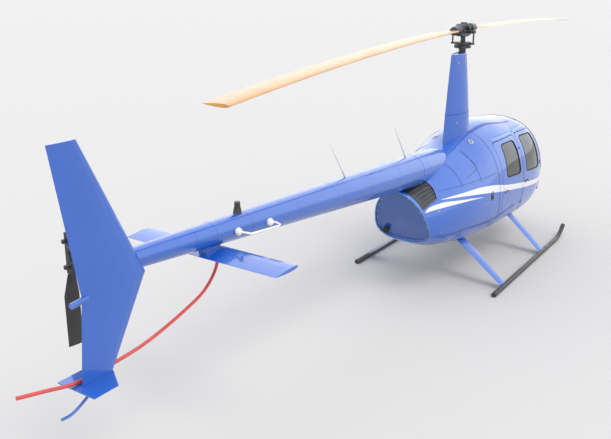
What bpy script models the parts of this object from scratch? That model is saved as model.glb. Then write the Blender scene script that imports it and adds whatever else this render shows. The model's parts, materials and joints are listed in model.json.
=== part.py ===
"""A light four-seat piston helicopter, parked on its skids.

Metres, +Z up, +X towards the nose, +Y to the left, with Z = 0 under the skids.
Every place below is measured from the main rotor's axis. The airframe empty
then moves the whole aircraft, so that X = 0 is halfway along it.
"""

import math

import bmesh
import bpy
from mathutils import Matrix, Vector

for old in list(bpy.data.objects):
    bpy.data.objects.remove(old, do_unlink=True)

# Driving dimensions
MAST_X = 0.908              # from the middle of the whole length forward to the rotor axis
ROTOR_RADIUS = 5.03
ROTOR_CHORD = 0.254
ROTOR_THICK = 0.030
ROTOR_TURN = math.radians(3.2)   # how far the parked rotor stands off the fuselage line
HUB_Z = 3.062
BLADE_ROOT = 0.34
BLADE_TIP_DROP = 0.185      # how far a parked blade's tip sags
TAIL_RADIUS = 0.737
TAIL_CHORD = 0.13
TAIL_THICK = 0.014
TAIL_X = -5.893
TAIL_Z = 1.872
TAIL_DISC_Y = 0.45
SKID_Y = 0.965
SKID_TUBE = 0.032
CABIN_WALL = 0.040
COWL_WALL = 0.016
GLASS = 0.005
SEAT_GAP = 0.0003           # what touching solids keep between them
RUNNING_GAP = 0.0004        # between a shaft and the bore that it turns in
DOOR_GAP = 0.007
CABIN_BACK = 0.04           # rear face of the cabin bulkhead
COWL_BACK = -1.46           # flat rear face of the engine cowl, at the height below
COWL_BACK_Z = 0.95
COWL_BACK_LEAN = 0.42       # how far that face leans back for each metre of height
COWL_SPLIT_Z = 1.33         # seam between the tank cowl and the engine cowl
BODY_SIDES = 36

# Body sections from the nose back: station x, belly z, roof z, z of the widest line,
# half width, and how square the top and the belly are (2 is an ellipse)
BODY_SECTIONS = (
    (2.400, 0.840, 0.980, 0.91, 0.080, 2.0, 2.0),
    (2.330, 0.684, 1.160, 0.91, 0.288, 2.1, 2.3),
    (2.140, 0.570, 1.390, 0.91, 0.451, 2.15, 2.6),
    (1.840, 0.492, 1.640, 0.92, 0.574, 2.4, 2.8),
    (1.450, 0.445, 1.778, 0.94, 0.644, 2.5, 3.0),
    (1.000, 0.430, 1.838, 0.97, 0.660, 2.25, 3.0),
    (0.500, 0.450, 1.872, 0.98, 0.653, 2.15, 3.0),
    (0.000, 0.473, 1.820, 0.98, 0.636, 2.1, 3.0),
    (-0.400, 0.475, 1.707, 0.98, 0.608, 2.0, 2.6),
    (-0.800, 0.530, 1.600, 0.97, 0.550, 2.0, 2.4),
    (-1.200, 0.620, 1.470, 0.97, 0.450, 2.0, 2.7),
    (-1.460, 0.750, 1.410, 0.96, 0.360, 2.0, 3.0),
    (-1.700, 0.920, 1.370, 1.00, 0.290, 2.0, 3.0),
)

# Tail cone: its axis rises towards the tail
CONE_FRONT_X = -1.15
CONE_BACK_X = -5.78
CONE_FRONT_Z = 1.536
CONE_RISE = 0.0729
CONE_FRONT_R = 0.198
CONE_BACK_R = 0.080
CONE_WALL = 0.006
CONE_NOSE_X = -0.42         # where its front fairing runs out on the roof

# Side outlines in X and Z, corner by corner, shared by both sides
DOOR_FRONT = ((0.890, 0.60), (0.890, 1.67), (1.470, 1.65), (1.700, 1.10), (1.735, 0.95), (1.735, 0.62))
DOOR_REAR = ((0.210, 0.60), (0.120, 0.85), (0.160, 1.665), (0.850, 1.67), (0.850, 0.60))
WINDOW_FRONT = ((0.980, 1.158), (0.990, 1.615), (1.420, 1.595), (1.560, 1.102))
WINDOW_REAR = ((0.290, 1.215), (0.350, 1.612), (0.755, 1.606), (0.757, 1.180))
WINDSHIELD = ((1.850, 0.985), (1.550, 1.66), (1.440, 1.79), (1.300, 2.10), (2.700, 2.10), (2.700, 0.985))
CORNER_R = 0.055            # of the doors and the windows
POST_HALF = 0.022           # half width of the windshield's centre strip

# Where each door's hinge line stands, and the louvre grille's corners on each flank
DOOR_HINGES = {"front": (1.737, 0.598), "rear": (0.852, 0.655)}
HINGE_Z = 1.0
GRILLE = ((-1.520, 1.180), (-1.270, 1.262), (-1.225, 1.360), (-1.215, 1.440), (-1.590, 1.385))

parts = bpy.data.collections.new("light_helicopter")
cutters = bpy.data.collections.new("cutters")
for collection in (parts, cutters):
    bpy.context.scene.collection.children.link(collection)

airframe = bpy.data.objects.new("airframe", None)
airframe.location = (MAST_X, 0, 0)
parts.objects.link(airframe)


# Materials
def material(name, colour, roughness, metallic=0.0, alpha=1.0):
    made = bpy.data.materials.new(name)
    made.use_nodes = True
    shader = made.node_tree.nodes["Principled BSDF"]
    shader.inputs["Base Color"].default_value = (*colour, 1)
    shader.inputs["Roughness"].default_value = roughness
    shader.inputs["Metallic"].default_value = metallic
    shader.inputs["Alpha"].default_value = alpha
    made.diffuse_color = (*colour, 1)
    return made


BLUE = material("gloss blue paint", (0.010, 0.105, 0.520), 0.22)
YELLOW = material("yellow blade paint", (0.860, 0.640, 0.180), 0.45)
BLACK = material("black paint", (0.012, 0.012, 0.013), 0.50)
STEEL = material("dark steel", (0.060, 0.060, 0.065), 0.45, 0.8)
TINTED = material("tinted acrylic", (0.030, 0.040, 0.040), 0.05, 0.0, 0.4)
LEATHER = material("grey leather", (0.180, 0.175, 0.170), 0.60)
PLASTIC = material("black plastic", (0.020, 0.020, 0.020), 0.55)
IRON = material("engine", (0.160, 0.160, 0.165), 0.60, 0.6)
WHITE = material("white plastic", (0.780, 0.780, 0.780), 0.40)
RED = material("red and white tube", (0.620, 0.060, 0.040), 0.40)


# Helpers
def link(obj, parent=airframe, into=parts):
    into.objects.link(obj)
    obj.parent = parent
    return obj


def object_of(name, bm, skin=None, parent=airframe, into=parts):
    """A mesh object made from a bmesh, with its faces turned outwards."""
    bmesh.ops.recalc_face_normals(bm, faces=bm.faces)
    if bm.calc_volume(signed=True) < 0:
        bmesh.ops.reverse_faces(bm, faces=bm.faces)
    mesh = bpy.data.meshes.new(name)
    bm.to_mesh(mesh)
    bm.free()
    obj = bpy.data.objects.new(name, mesh)
    if skin:
        mesh.materials.append(skin)
    mesh.shade_smooth()
    mesh.set_sharp_from_angle(angle=math.radians(35))
    link(obj, parent, into)
    if into is cutters:
        obj.hide_render = True
        obj.display_type = "WIRE"
    return obj


def boolean(obj, other, operation="DIFFERENCE"):
    cut = obj.modifiers.new(operation.lower() + " " + other.name, "BOOLEAN")
    cut.operation = operation
    cut.object = other
    return obj


def baked(obj):
    """The object with its modifiers applied."""
    bpy.context.view_layer.update()
    evaluated = obj.evaluated_get(bpy.context.evaluated_depsgraph_get())
    mesh = bpy.data.meshes.new_from_object(evaluated)
    obj.modifiers.clear()
    obj.data = mesh
    return obj


def to_pivot(obj, pivot):
    """Moves the object's origin to a place, and leaves its shape where it is."""
    obj.data.transform(Matrix.Translation(-Vector(pivot)))
    obj.location = pivot
    return obj


def loft_bmesh(rings):
    """A skin over rings that have the same number of points, closed at both ends."""
    bm = bmesh.new()
    made = [[bm.verts.new(point) for point in ring] for ring in rings]
    sides = len(rings[0])
    for near, far in zip(made, made[1:]):
        for i in range(sides):
            j = (i + 1) % sides
            bm.faces.new((near[i], near[j], far[j], far[i]))
    bm.faces.new(made[0])
    bm.faces.new(made[-1])
    return bm


def prism(name, outline, axis, low, high, skin=None, into=cutters, parent=airframe):
    """A flat outline pushed along X, Y or Z, from low to high."""
    place = {
        "X": lambda a, b, t: (t, a, b),
        "Y": lambda a, b, t: (a, t, b),
        "Z": lambda a, b, t: (a, b, t),
    }[axis]
    rings = [[place(a, b, t) for a, b in outline] for t in (low, high)]
    return object_of(name, loft_bmesh(rings), skin, parent, into)


def box(name, low, high, skin=None, into=parts, parent=airframe):
    bm = bmesh.new()
    bmesh.ops.create_cube(bm, size=1)
    size = [b - a for a, b in zip(low, high)]
    middle = [(a + b) / 2 for a, b in zip(low, high)]
    bmesh.ops.scale(bm, verts=bm.verts, vec=size)
    bmesh.ops.translate(bm, verts=bm.verts, vec=middle)
    return object_of(name, bm, skin, parent, into)


def drum(name, start, end, radius, end_radius=None, sides=20, skin=None, into=parts, parent=airframe):
    """A round bar or a cone between two places."""
    start, end = Vector(start), Vector(end)
    along = end - start
    bm = bmesh.new()
    bmesh.ops.create_cone(
        bm, cap_ends=True, segments=sides, radius1=radius,
        radius2=radius if end_radius is None else end_radius, depth=along.length,
    )
    turn = Vector((0, 0, 1)).rotation_difference(along).to_matrix().to_4x4()
    bm.transform(Matrix.Translation((start + end) / 2) @ turn)
    return object_of(name, bm, skin, parent, into)


def running_bore(shaft_radius, sides=20):
    """The corner radius of a bore whose flats just clear a shaft that turns in it."""
    return (shaft_radius + RUNNING_GAP) / math.cos(math.pi / sides)


def joined(name, first, others, skin):
    """One body from overlapping pieces, whose own objects are then removed."""
    for other in others:
        boolean(first, other, "UNION")
    baked(first)
    for other in others:
        bpy.data.objects.remove(other, do_unlink=True)
    first.name = name
    first.data.materials.clear()
    first.data.materials.append(skin)
    return first


def rounded(corners, radius, steps=3):
    """The outline with each corner turned into an arc."""
    points = []
    count = len(corners)
    for i, corner in enumerate(corners):
        here = Vector(corner)
        back = (Vector(corners[i - 1]) - here).normalized()
        on = (Vector(corners[(i + 1) % count]) - here).normalized()
        half = back.angle(on) / 2
        reach = radius / math.tan(half)
        centre = here + (back + on).normalized() * radius / math.sin(half)
        first = here + back * reach - centre
        last = here + on * reach - centre
        turn = first.angle_signed(last)
        for step in range(steps + 1):
            arm = first.copy()
            arm.rotate(Matrix.Rotation(-turn * step / steps, 2))
            points.append(tuple(centre + arm))
    return points


def shrunk(corners, gap):
    """The outline with each side moved in by a gap, or out by a negative one."""
    count = len(corners)
    area = sum(a[0] * b[1] - b[0] * a[1] for a, b in zip(corners, corners[1:] + corners[:1]))
    side = 1 if area > 0 else -1
    moved = []
    for i, corner in enumerate(corners):
        before = (Vector(corner) - Vector(corners[i - 1])).normalized()
        after = (Vector(corners[(i + 1) % count]) - Vector(corner)).normalized()
        inward = Vector((-before.y, before.x)) + Vector((-after.y, after.x))
        inward = inward / (1 + before.dot(after)) * side
        moved.append(tuple(Vector(corner) + inward * gap))
    return tuple(moved)


def tube(name, route, radius, skin, parent=airframe, bend=2):
    """A round tube along a route, as a mesh with welded caps."""
    curve = bpy.data.curves.new(name, "CURVE")
    curve.dimensions = "3D"
    curve.bevel_depth = radius
    curve.bevel_resolution = bend
    curve.use_fill_caps = True
    spline = curve.splines.new("POLY")
    spline.points.add(len(route) - 1)
    for point, place in zip(spline.points, route):
        point.co = (*place, 1)
    guide = link(bpy.data.objects.new(name + " guide", curve), parent)
    bpy.context.view_layer.update()
    evaluated = guide.evaluated_get(bpy.context.evaluated_depsgraph_get())
    mesh = bpy.data.meshes.new_from_object(evaluated)
    bpy.data.objects.remove(guide, do_unlink=True)
    bm = bmesh.new()
    bm.from_mesh(mesh)
    bmesh.ops.remove_doubles(bm, verts=bm.verts, dist=0.00001)
    return object_of(name, bm, skin, parent)


def smooth_route(points, steps=4):
    """Points along a smooth curve through the given ones."""
    points = [Vector(p) for p in points]
    ends = [points[0] * 2 - points[1]] + points + [points[-1] * 2 - points[-2]]
    route = []
    for a, b, c, d in zip(ends, ends[1:], ends[2:], ends[3:]):
        for step in range(steps):
            route.append(between(a, b, c, d, step / steps))
    return [tuple(p) for p in route + [points[-1]]]


def between(a, b, c, d, t):
    """The place a share t of the way from b to c on a smooth curve through all four."""
    return (b * 2 + (c - a) * t + (a * 2 - b * 5 + c * 4 - d) * t * t
            + (b * 3 - a - c * 3 + d) * t * t * t) * 0.5


def airfoil(chord, thick, steps=7):
    """A symmetric aerofoil outline: its nose at 0, its tail at chord."""
    upper = []
    for i in range(steps + 1):
        share = (1 - math.cos(math.pi * i / steps)) / 2
        half = 5 * thick * (0.2969 * math.sqrt(share) - 0.126 * share - 0.3516 * share ** 2
                            + 0.2843 * share ** 3 - 0.1 * share ** 4)
        upper.append((share * chord, half))
    lower = [(along, -half) for along, half in reversed(upper[1:-1])]
    return upper[:-1] + [(chord, 0.0012), (chord, -0.0012)] + lower


# Body skin
def section_ring(section):
    station, belly, roof, waist, half, top_power, belly_power = section
    ring = []
    for i in range(BODY_SIDES):
        angle = 2 * math.pi * i / BODY_SIDES
        across, up = math.cos(angle), math.sin(angle)
        power, height = (top_power, roof - waist) if up >= 0 else (belly_power, waist - belly)
        y = half * math.copysign(abs(across) ** (2 / power), across)
        z = waist + height * math.copysign(abs(up) ** (2 / power), up)
        ring.append((station, y, z))
    return ring


def body_rings(steps=2):
    rings = []
    rows = [BODY_SECTIONS[0], *BODY_SECTIONS, BODY_SECTIONS[-1]]
    for four in zip(rows, rows[1:], rows[2:], rows[3:]):
        for step in range(steps):
            rings.append(section_ring([between(*column, step / steps) for column in zip(*four)]))
    return rings + [section_ring(BODY_SECTIONS[-1])]


def body_bmesh(inset, capped):
    """The body's surface in triangles, moved in by the inset, or out by a negative one."""
    bm = loft_bmesh(body_rings())
    bmesh.ops.recalc_face_normals(bm, faces=bm.faces)
    back_face = min(bm.faces, key=lambda face: face.calc_center_median().x)
    bmesh.ops.delete(bm, geom=[back_face], context="FACES_ONLY")
    bm.normal_update()
    for vert in bm.verts:
        vert.co -= vert.normal * inset
    if capped:
        bmesh.ops.holes_fill(bm, edges=[edge for edge in bm.edges if edge.is_boundary])
    bmesh.ops.triangulate(bm, faces=bm.faces, quad_method="FIXED")
    return bm


def body_solid(name, inset, into=cutters):
    """The whole body as one solid, moved in by the inset."""
    return object_of(name, body_bmesh(inset, True), into=into)


def body_shell(name, skin, wall, inset=0.0):
    """The body's skin with a wall inside it, open at the back."""
    bm = body_bmesh(inset, False)
    mesh = bpy.data.meshes.new(name)
    bm.to_mesh(mesh)
    bm.free()
    mesh.materials.append(skin)
    mesh.shade_smooth()
    obj = link(bpy.data.objects.new(name, mesh))
    solid = obj.modifiers.new("wall", "SOLIDIFY")
    solid.thickness = wall
    solid.offset = -1
    return obj


def rear_face_x(z):
    """Where the cowl's leaning rear face is, at a height."""
    return COWL_BACK - COWL_BACK_LEAN * (z - COWL_BACK_Z)


def rear_slab(name, ahead, behind):
    """The space between two planes along the cowl's rear face, by their distance ahead of it."""
    low, high = 0.0, 2.0
    corners = ((behind, low), (behind, high), (ahead, high), (ahead, low))
    return prism(name, [(rear_face_x(z) + reach, z) for reach, z in corners], "Y", -1.0, 1.0)


FAR = 3.0
behind_cowl = rear_slab("behind cowl", 0.0, -1.0)
cowl_front_x = CABIN_BACK - SEAT_GAP
front_of_bulkhead = box("front of bulkhead", (CABIN_BACK, -FAR, -FAR), (FAR, FAR, FAR), into=cutters)
above_seam = box("above seam", (-FAR, -FAR, COWL_SPLIT_Z), (cowl_front_x, FAR, FAR), into=cutters)
below_seam = box("below seam", (-FAR, -FAR, -FAR), (cowl_front_x, FAR, COWL_SPLIT_Z - SEAT_GAP), into=cutters)

body_grown = boolean(body_solid("body grown", -SEAT_GAP), behind_cowl)
cabin_space = body_solid("cabin space", CABIN_WALL + SEAT_GAP)
cowl_space = body_solid("cowl space", COWL_WALL + SEAT_GAP)


# Cabin shell, doors and glass
DOORS = (("front", DOOR_FRONT, WINDOW_FRONT), ("rear", DOOR_REAR, WINDOW_REAR))
SIDES = (("left", 1), ("right", -1))
DOOR_INNER_Y = 0.20
DOOR_OUTER_Y = 1.20
PANE_LAP = 0.0006
DOOR_GLASS_INSET = 0.006    # how far the panes lie inside the skin
WINDSHIELD_INSET = 0.004

cabin = body_shell("cabin_shell", BLUE, CABIN_WALL)
boolean(cabin, front_of_bulkhead, "INTERSECT")
for where, door_corners, window_corners in DOORS:
    for side, sign in SIDES:
        name = where + "_" + side
        span = sorted((sign * DOOR_INNER_Y, sign * DOOR_OUTER_Y))
        opening = prism("opening " + name, rounded(door_corners, CORNER_R), "Y", *span)
        boolean(cabin, opening)
        leaf = prism("leaf " + name, rounded(shrunk(door_corners, DOOR_GAP), CORNER_R), "Y", *span)
        window = prism("window " + name, rounded(window_corners, CORNER_R), "Y", *span)
        pane = prism("pane " + name, rounded(shrunk(window_corners, PANE_LAP), CORNER_R), "Y", *span)
        door = body_shell("door_" + name, BLUE, CABIN_WALL)
        boolean(door, leaf, "INTERSECT")
        boolean(door, window)
        glass = body_shell("glass_" + name, TINTED, GLASS, DOOR_GLASS_INSET)
        boolean(glass, pane, "INTERSECT")
        hinge_x, hinge_y = DOOR_HINGES[where]
        hinge = (hinge_x, sign * hinge_y, HINGE_Z)
        to_pivot(baked(door), hinge)
        to_pivot(baked(glass), hinge)

for side, sign in SIDES:
    span = sorted((sign * POST_HALF, sign * DOOR_OUTER_Y))
    boolean(cabin, prism("windshield hole " + side, rounded(WINDSHIELD, CORNER_R), "Y", *span))
    span = sorted((sign * (POST_HALF + PANE_LAP), sign * DOOR_OUTER_Y))
    pane = prism("windshield pane " + side, rounded(shrunk(WINDSHIELD, PANE_LAP), CORNER_R), "Y", *span)
    shield = body_shell("windshield_" + side, TINTED, GLASS, WINDSHIELD_INSET)
    boolean(shield, pane, "INTERSECT")
    baked(shield)
baked(cabin)

bulkhead_front = CABIN_BACK + 0.03
bulkhead = box("rear_bulkhead", (CABIN_BACK + SEAT_GAP, -1, 0), (bulkhead_front, 1, 2.5), PLASTIC)
boolean(bulkhead, cabin_space, "INTERSECT")
baked(bulkhead)
FLOOR_Z = 0.60
floor = box("cabin_floor", (bulkhead_front + SEAT_GAP, -1, FLOOR_Z - 0.02), (2.15, 1, FLOOR_Z), PLASTIC)
boolean(floor, cabin_space, "INTERSECT")
baked(floor)


# The tail cone's axis and radius along it
def cone_z(x):
    return CONE_FRONT_Z + CONE_RISE * (CONE_FRONT_X - x)


def cone_radius(x):
    share = (CONE_FRONT_X - x) / (CONE_FRONT_X - CONE_BACK_X)
    return CONE_FRONT_R + (CONE_BACK_R - CONE_FRONT_R) * share


def cone_point(x):
    return (x, 0, cone_z(x))


def along_cone(name, back, front, grown, skin=None, into=cutters):
    """The tail cone's own taper between two stations, with its radius grown by an amount."""
    radii = (cone_radius(back) + grown, cone_radius(front) + grown)
    return drum(name, cone_point(back), cone_point(front), *radii, sides=28, skin=skin, into=into)


cone_room = along_cone("cone room", CONE_BACK_X - 0.1, CONE_FRONT_X + 0.1, SEAT_GAP)


# Aft body
GRILLE_INNER_Y = 0.10
GRILLE_OUTER_Y = 1.00
GRILLE_THICK = 0.010
tank_cowl = body_shell("tank_cowl", BLUE, COWL_WALL)
boolean(tank_cowl, above_seam, "INTERSECT")
engine_cowl = body_shell("engine_cowl", BLUE, COWL_WALL)
boolean(engine_cowl, below_seam, "INTERSECT")
for cowl in (tank_cowl, engine_cowl):
    boolean(cowl, behind_cowl)
for side, sign in SIDES:
    span = sorted((sign * GRILLE_INNER_Y, sign * GRILLE_OUTER_Y))
    opening = prism("grille opening " + side, GRILLE, "Y", *span)
    boolean(tank_cowl, opening)
    boolean(engine_cowl, opening)
    grille = body_shell("side_grille_" + side, BLACK, GRILLE_THICK, WINDSHIELD_INSET)
    boolean(grille, prism("grille fill " + side, shrunk(GRILLE, PANE_LAP), "Y", *span), "INTERSECT")
    baked(grille)
baked(tank_cowl)
baked(engine_cowl)

REAR_PANEL_INSET = 0.004
REAR_PANEL_THICK = 0.014
panel_slab = rear_slab("rear panel slab", REAR_PANEL_INSET + REAR_PANEL_THICK, REAR_PANEL_INSET)
rear_panel = boolean(body_solid("cowl_rear_panel", COWL_WALL + SEAT_GAP, parts), panel_slab, "INTERSECT")
boolean(rear_panel, cone_room)
rear_panel.data.materials.append(BLUE)
EXHAUST_Y, EXHAUST_Z, EXHAUST_R = 0.235, 0.805, 0.032
EXHAUST_END_X = -1.430
EXHAUST_WALL = 0.004
EXHAUST_BORE = 0.22         # how deep the pipe is open
ENGINE = ((-1.05, -0.30, 0.68), (-0.40, 0.30, 1.02))    # its lowest and highest corners


def along_exhaust(name, back, front, radius, skin=None, into=cutters):
    ends = [(x, EXHAUST_Y, EXHAUST_Z) for x in (back, front)]
    return drum(name, *ends, radius, skin=skin, into=into)


behind_exhaust_x = EXHAUST_END_X - 0.1
engine_back_x = ENGINE[0][0]
boolean(rear_panel, along_exhaust("exhaust hole", behind_exhaust_x, engine_back_x - 0.05, EXHAUST_R + SEAT_GAP))
baked(rear_panel)
pipe = along_exhaust("exhaust_pipe", EXHAUST_END_X, engine_back_x - SEAT_GAP, EXHAUST_R, STEEL, parts)
bore_end_x = EXHAUST_END_X + EXHAUST_BORE
boolean(pipe, along_exhaust("exhaust bore", behind_exhaust_x, bore_end_x, EXHAUST_R - EXHAUST_WALL))
baked(pipe)
engine = box("engine_block", *ENGINE, IRON)


# Tail cone and its front fairing
cone = along_cone("tail_cone", CONE_BACK_X, CONE_FRONT_X, 0, BLUE, parts)
boolean(cone, along_cone("cone bore", CONE_BACK_X + 0.02, CONE_FRONT_X + 0.02, -CONE_WALL))
boolean(cone, body_grown)
baked(cone)

fairing_x = CONE_FRONT_X + SEAT_GAP * 2
cone_fairing = drum("cone_fairing", cone_point(fairing_x), cone_point(CONE_NOSE_X),
                    CONE_FRONT_R, CONE_FRONT_R, sides=28, skin=BLUE)
boolean(cone_fairing, body_grown)
baked(cone_fairing)


# Mast fairing
FAIRING_LEVELS = (
    # z, trailing edge x, leading edge x, thickness
    (1.66, -0.412, 0.215, 0.290),
    (1.98, -0.400, 0.185, 0.255),
    (2.40, -0.365, 0.135, 0.190),
    (2.80, -0.320, 0.070, 0.130),
)


def fairing_ring(level):
    z, tail, nose, thick = level
    chord = nose - tail
    return [(nose - along, across * chord, z) for along, across in airfoil(chord, thick / chord)]


mast_fairing = object_of("mast_fairing", loft_bmesh([fairing_ring(level) for level in FAIRING_LEVELS]), BLUE)
shaft_way = drum("shaft way", (0, 0, 2.2), (0, 0, 3.2), 0.045, into=cutters)
boolean(mast_fairing, body_grown)
boolean(mast_fairing, cone_fairing)
boolean(mast_fairing, shaft_way)
baked(mast_fairing)


# Rotor head
main_axis = link(bpy.data.objects.new("main_rotor_axis", None))
main_axis.location = (0, 0, HUB_Z)
main_axis.rotation_euler = (0, 0, ROTOR_TURN)

MAST_R = 0.030
SLEEVE = (2.21, 2.875)      # low and high end of the fixed sleeve round the mast
SWASH_FIXED = (2.860, 2.892)
SWASH_TURNING = (2.902, 2.930)
SWASH_R = 0.105
SHAFT_TOP = 0.02            # above the rotor axis empty, inside the hub
LINK_Y = 0.134
LINK_R = 0.010


def turning(z):
    """A height on the turning head, measured from its empty."""
    return z - HUB_Z


sleeve = drum("mast_sleeve", (0, 0, SLEEVE[0]), (0, 0, SLEEVE[1]), 0.0445 - SEAT_GAP, skin=STEEL)
swash_low = drum("swash low", (0, 0, SWASH_FIXED[0]), (0, 0, SWASH_FIXED[1]), SWASH_R, skin=STEEL)
fixed_arm = box("fixed arm", (-0.14, -0.012, 2.862), (0.0, 0.012, 2.884), STEEL)
shaft_bore = drum("shaft bore", (0, 0, 2.4), (0, 0, 3.2), running_bore(MAST_R), into=cutters)
joined("mast_sleeve", sleeve, [swash_low, fixed_arm], STEEL)
boolean(sleeve, shaft_bore)
baked(sleeve)


def head_drum(name, start, end, radius, end_radius=None, sides=20):
    return drum(name, start, end, radius, end_radius, sides, STEEL, parent=main_axis)


def head_box(name, low, high):
    return box(name, low, high, STEEL, parent=main_axis)


swash_low_z, swash_high_z = (turning(z) for z in SWASH_TURNING)
link_arm_top = swash_high_z - 0.004
shaft = head_drum("rotor_shaft", (0, 0, turning(2.45)), (0, 0, SHAFT_TOP), MAST_R)
swash_high = head_drum("swash high", (0, 0, swash_low_z), (0, 0, swash_high_z), SWASH_R - 0.005)
link_arm = head_box("link arm", (-0.03, -0.145, swash_low_z + 0.002), (0.03, 0.145, link_arm_top))
joined("rotor_shaft", shaft, [swash_high, link_arm], STEEL)

# The teetering hub from the side, in X and Z: an arch between the two blade grips
HUB_OUTLINE = ((-0.205, -0.035), (-0.250, -0.005), (-0.240, 0.045), (-0.120, 0.092), (0.120, 0.092),
               (0.240, 0.045), (0.250, -0.005), (0.205, -0.035), (0.060, -0.062), (-0.060, -0.062))
HUB_HALF = 0.048
# Hinge bolts through the hub: x, z, half length, radius
HUB_BOLTS = ((0.0, 0.040, 0.086, 0.024), (-0.165, 0.012, 0.078, 0.020), (0.165, 0.012, 0.078, 0.020))
GRIP_Z = 0.022
GRIP_ENDS = (0.20, 0.352)

hub = prism("rotor_hub", HUB_OUTLINE, "Y", -HUB_HALF, HUB_HALF, STEEL, parts, main_axis)
hub_bits = [head_drum("hub cap", (0, 0, 0.08), (0, 0, 0.108), 0.046, 0.036)]
for x, z, half, radius in HUB_BOLTS:
    hub_bits.append(head_drum("hub bolt", (x, -half, z), (x, half, z), radius, sides=12))
for sign in (1, -1):
    hub_bits.append(head_drum("grip", *[(sign * x, 0, GRIP_Z) for x in GRIP_ENDS], 0.062, 0.050))
    low, high = sorted((sign * 0.030, sign * 0.150))
    hub_bits.append(head_box("pitch horn", (-0.032, low, -0.022), (0.032, high, 0.010)))
    low, high = sorted((sign * 0.030, sign * 0.065))
    near, far = sorted((0.0, sign * 0.250))
    hub_bits.append(head_box("horn root", (near, low, -0.024), (far, high, 0.012)))
    link_low = (0.0, sign * LINK_Y, link_arm_top + SEAT_GAP)
    hub_bits.append(head_drum("pitch link", link_low, (0.0, sign * LINK_Y, 0.0), LINK_R, sides=10))
joined("rotor_hub", hub, hub_bits, STEEL)
boolean(hub, drum("hub bore", (0, 0, -0.2), (0, 0, SHAFT_TOP + SEAT_GAP), MAST_R + SEAT_GAP,
                  into=cutters, parent=main_axis))
baked(hub)

BLADE_NOSE = 0.28           # share of the chord ahead of the feathering axis
ROOT_TAPER = 0.35           # length of the cut-back trailing edge at the root


def blade_ring(reach):
    """One section of a main blade: a straight leading edge on the left, and a tip that sags."""
    drop = BLADE_TIP_DROP * (reach / ROTOR_RADIUS) ** 2
    root_share = min(1.0, (reach - BLADE_ROOT) / ROOT_TAPER)
    chord = ROTOR_CHORD * (0.52 + 0.48 * root_share)
    nose = ROTOR_CHORD * BLADE_NOSE
    outline = airfoil(chord, ROTOR_THICK / chord)
    return [(reach, nose - along, across * chord + GRIP_Z - drop) for along, across in outline]


BLADE_REACHES = (BLADE_ROOT + 0.013, 0.55, 0.70, 1.4, 2.1, 2.8, 3.5, 4.2, 4.7, ROTOR_RADIUS)
blade_mesh = object_of("main_blade_a", loft_bmesh([blade_ring(r) for r in BLADE_REACHES]), YELLOW, main_axis)
twin = link(bpy.data.objects.new("main_blade_b", blade_mesh.data), main_axis)
twin.rotation_euler = (0, 0, math.pi)


# Tail rotor and its gearbox, on the left of the cone's end
tail_axis = link(bpy.data.objects.new("tail_rotor_axis", None))
tail_axis.location = (TAIL_X, TAIL_DISC_Y, TAIL_Z)

TAIL_SHAFT_R = 0.017
TAIL_PITCH = math.radians(6)
TAIL_YOKE_HALF = 0.16       # from the tail rotor's axis to the end of its yoke


def tail_axis_point(y):
    return (TAIL_X, y, TAIL_Z)


case_ends = cone_point(CONE_BACK_X - SEAT_GAP), cone_point(TAIL_X - 0.03)
case = drum("tail_gearbox", *case_ends, 0.076, 0.064, skin=STEEL)
output = drum("output", tail_axis_point(-0.085), tail_axis_point(0.30), 0.052, 0.030, skin=STEEL)
fin_mount = box("fin mount", (-5.99, -0.152, TAIL_Z - 0.075), (-5.80, -0.05, TAIL_Z + 0.045), STEEL)
joined("tail_gearbox", case, [output, fin_mount], STEEL)
boolean(case, drum("output bore", tail_axis_point(0.16), tail_axis_point(0.5), running_bore(TAIL_SHAFT_R),
                   into=cutters))
baked(case)


def tail_drum(name, start, end, radius, sides=20):
    return drum(name, start, end, radius, sides=sides, skin=STEEL, parent=tail_axis)


def tail_box(name, low, high):
    return box(name, low, high, STEEL, parent=tail_axis)


tail_shaft = tail_drum("tail_rotor_hub", (0, -0.27, 0), (0, 0.035, 0), TAIL_SHAFT_R, 16)
tail_bits = [
    tail_box("tail yoke", (-0.035, -0.022, -TAIL_YOKE_HALF), (0.035, 0.022, TAIL_YOKE_HALF)),
    tail_drum("tail slider", (0, -0.115, 0), (0, -0.085, 0), 0.045),
]
for sign in (1, -1):
    low_z, high_z = sign * 0.03, sign * 0.10
    tail_bits.append(tail_box("tail horn", (-0.075, -0.105, low_z - 0.012), (0.012, -0.093, low_z + 0.012)))
    tail_bits.append(tail_drum("tail link", (-0.06, -0.10, low_z), (-0.06, 0.0, high_z), 0.007, 8))
    tail_bits.append(tail_box("tail link arm", (-0.07, -0.012, high_z - 0.015), (0.0, 0.012, high_z + 0.015)))
joined("tail_rotor_hub", tail_shaft, tail_bits, STEEL)


def tail_blade_ring(reach):
    chord = TAIL_CHORD * min(1.0, 0.5 + (reach - TAIL_YOKE_HALF) * 3)
    outline = [(along - chord * 0.3, across * chord) for along, across in airfoil(chord, TAIL_THICK / chord, 5)]
    turn = Matrix.Rotation(TAIL_PITCH, 2)
    return [(*(turn @ Vector(point)), reach) for point in outline]


TAIL_REACHES = (TAIL_YOKE_HALF + SEAT_GAP, 0.24, 0.327, 0.53, TAIL_RADIUS)
tail_blade = object_of("tail_blade_a", loft_bmesh([tail_blade_ring(r) for r in TAIL_REACHES]), BLACK, tail_axis)
tail_twin = link(bpy.data.objects.new("tail_blade_b", tail_blade.data), tail_axis)
tail_twin.rotation_euler = (0, math.pi, 0)


# Fins, end plate, tail skid and stabilizer
FIN_Y = -0.178
FIN_ROOT_Z = 1.835
PLATE_TOP_Z = 1.216
PLATE_THICK = 0.008
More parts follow.
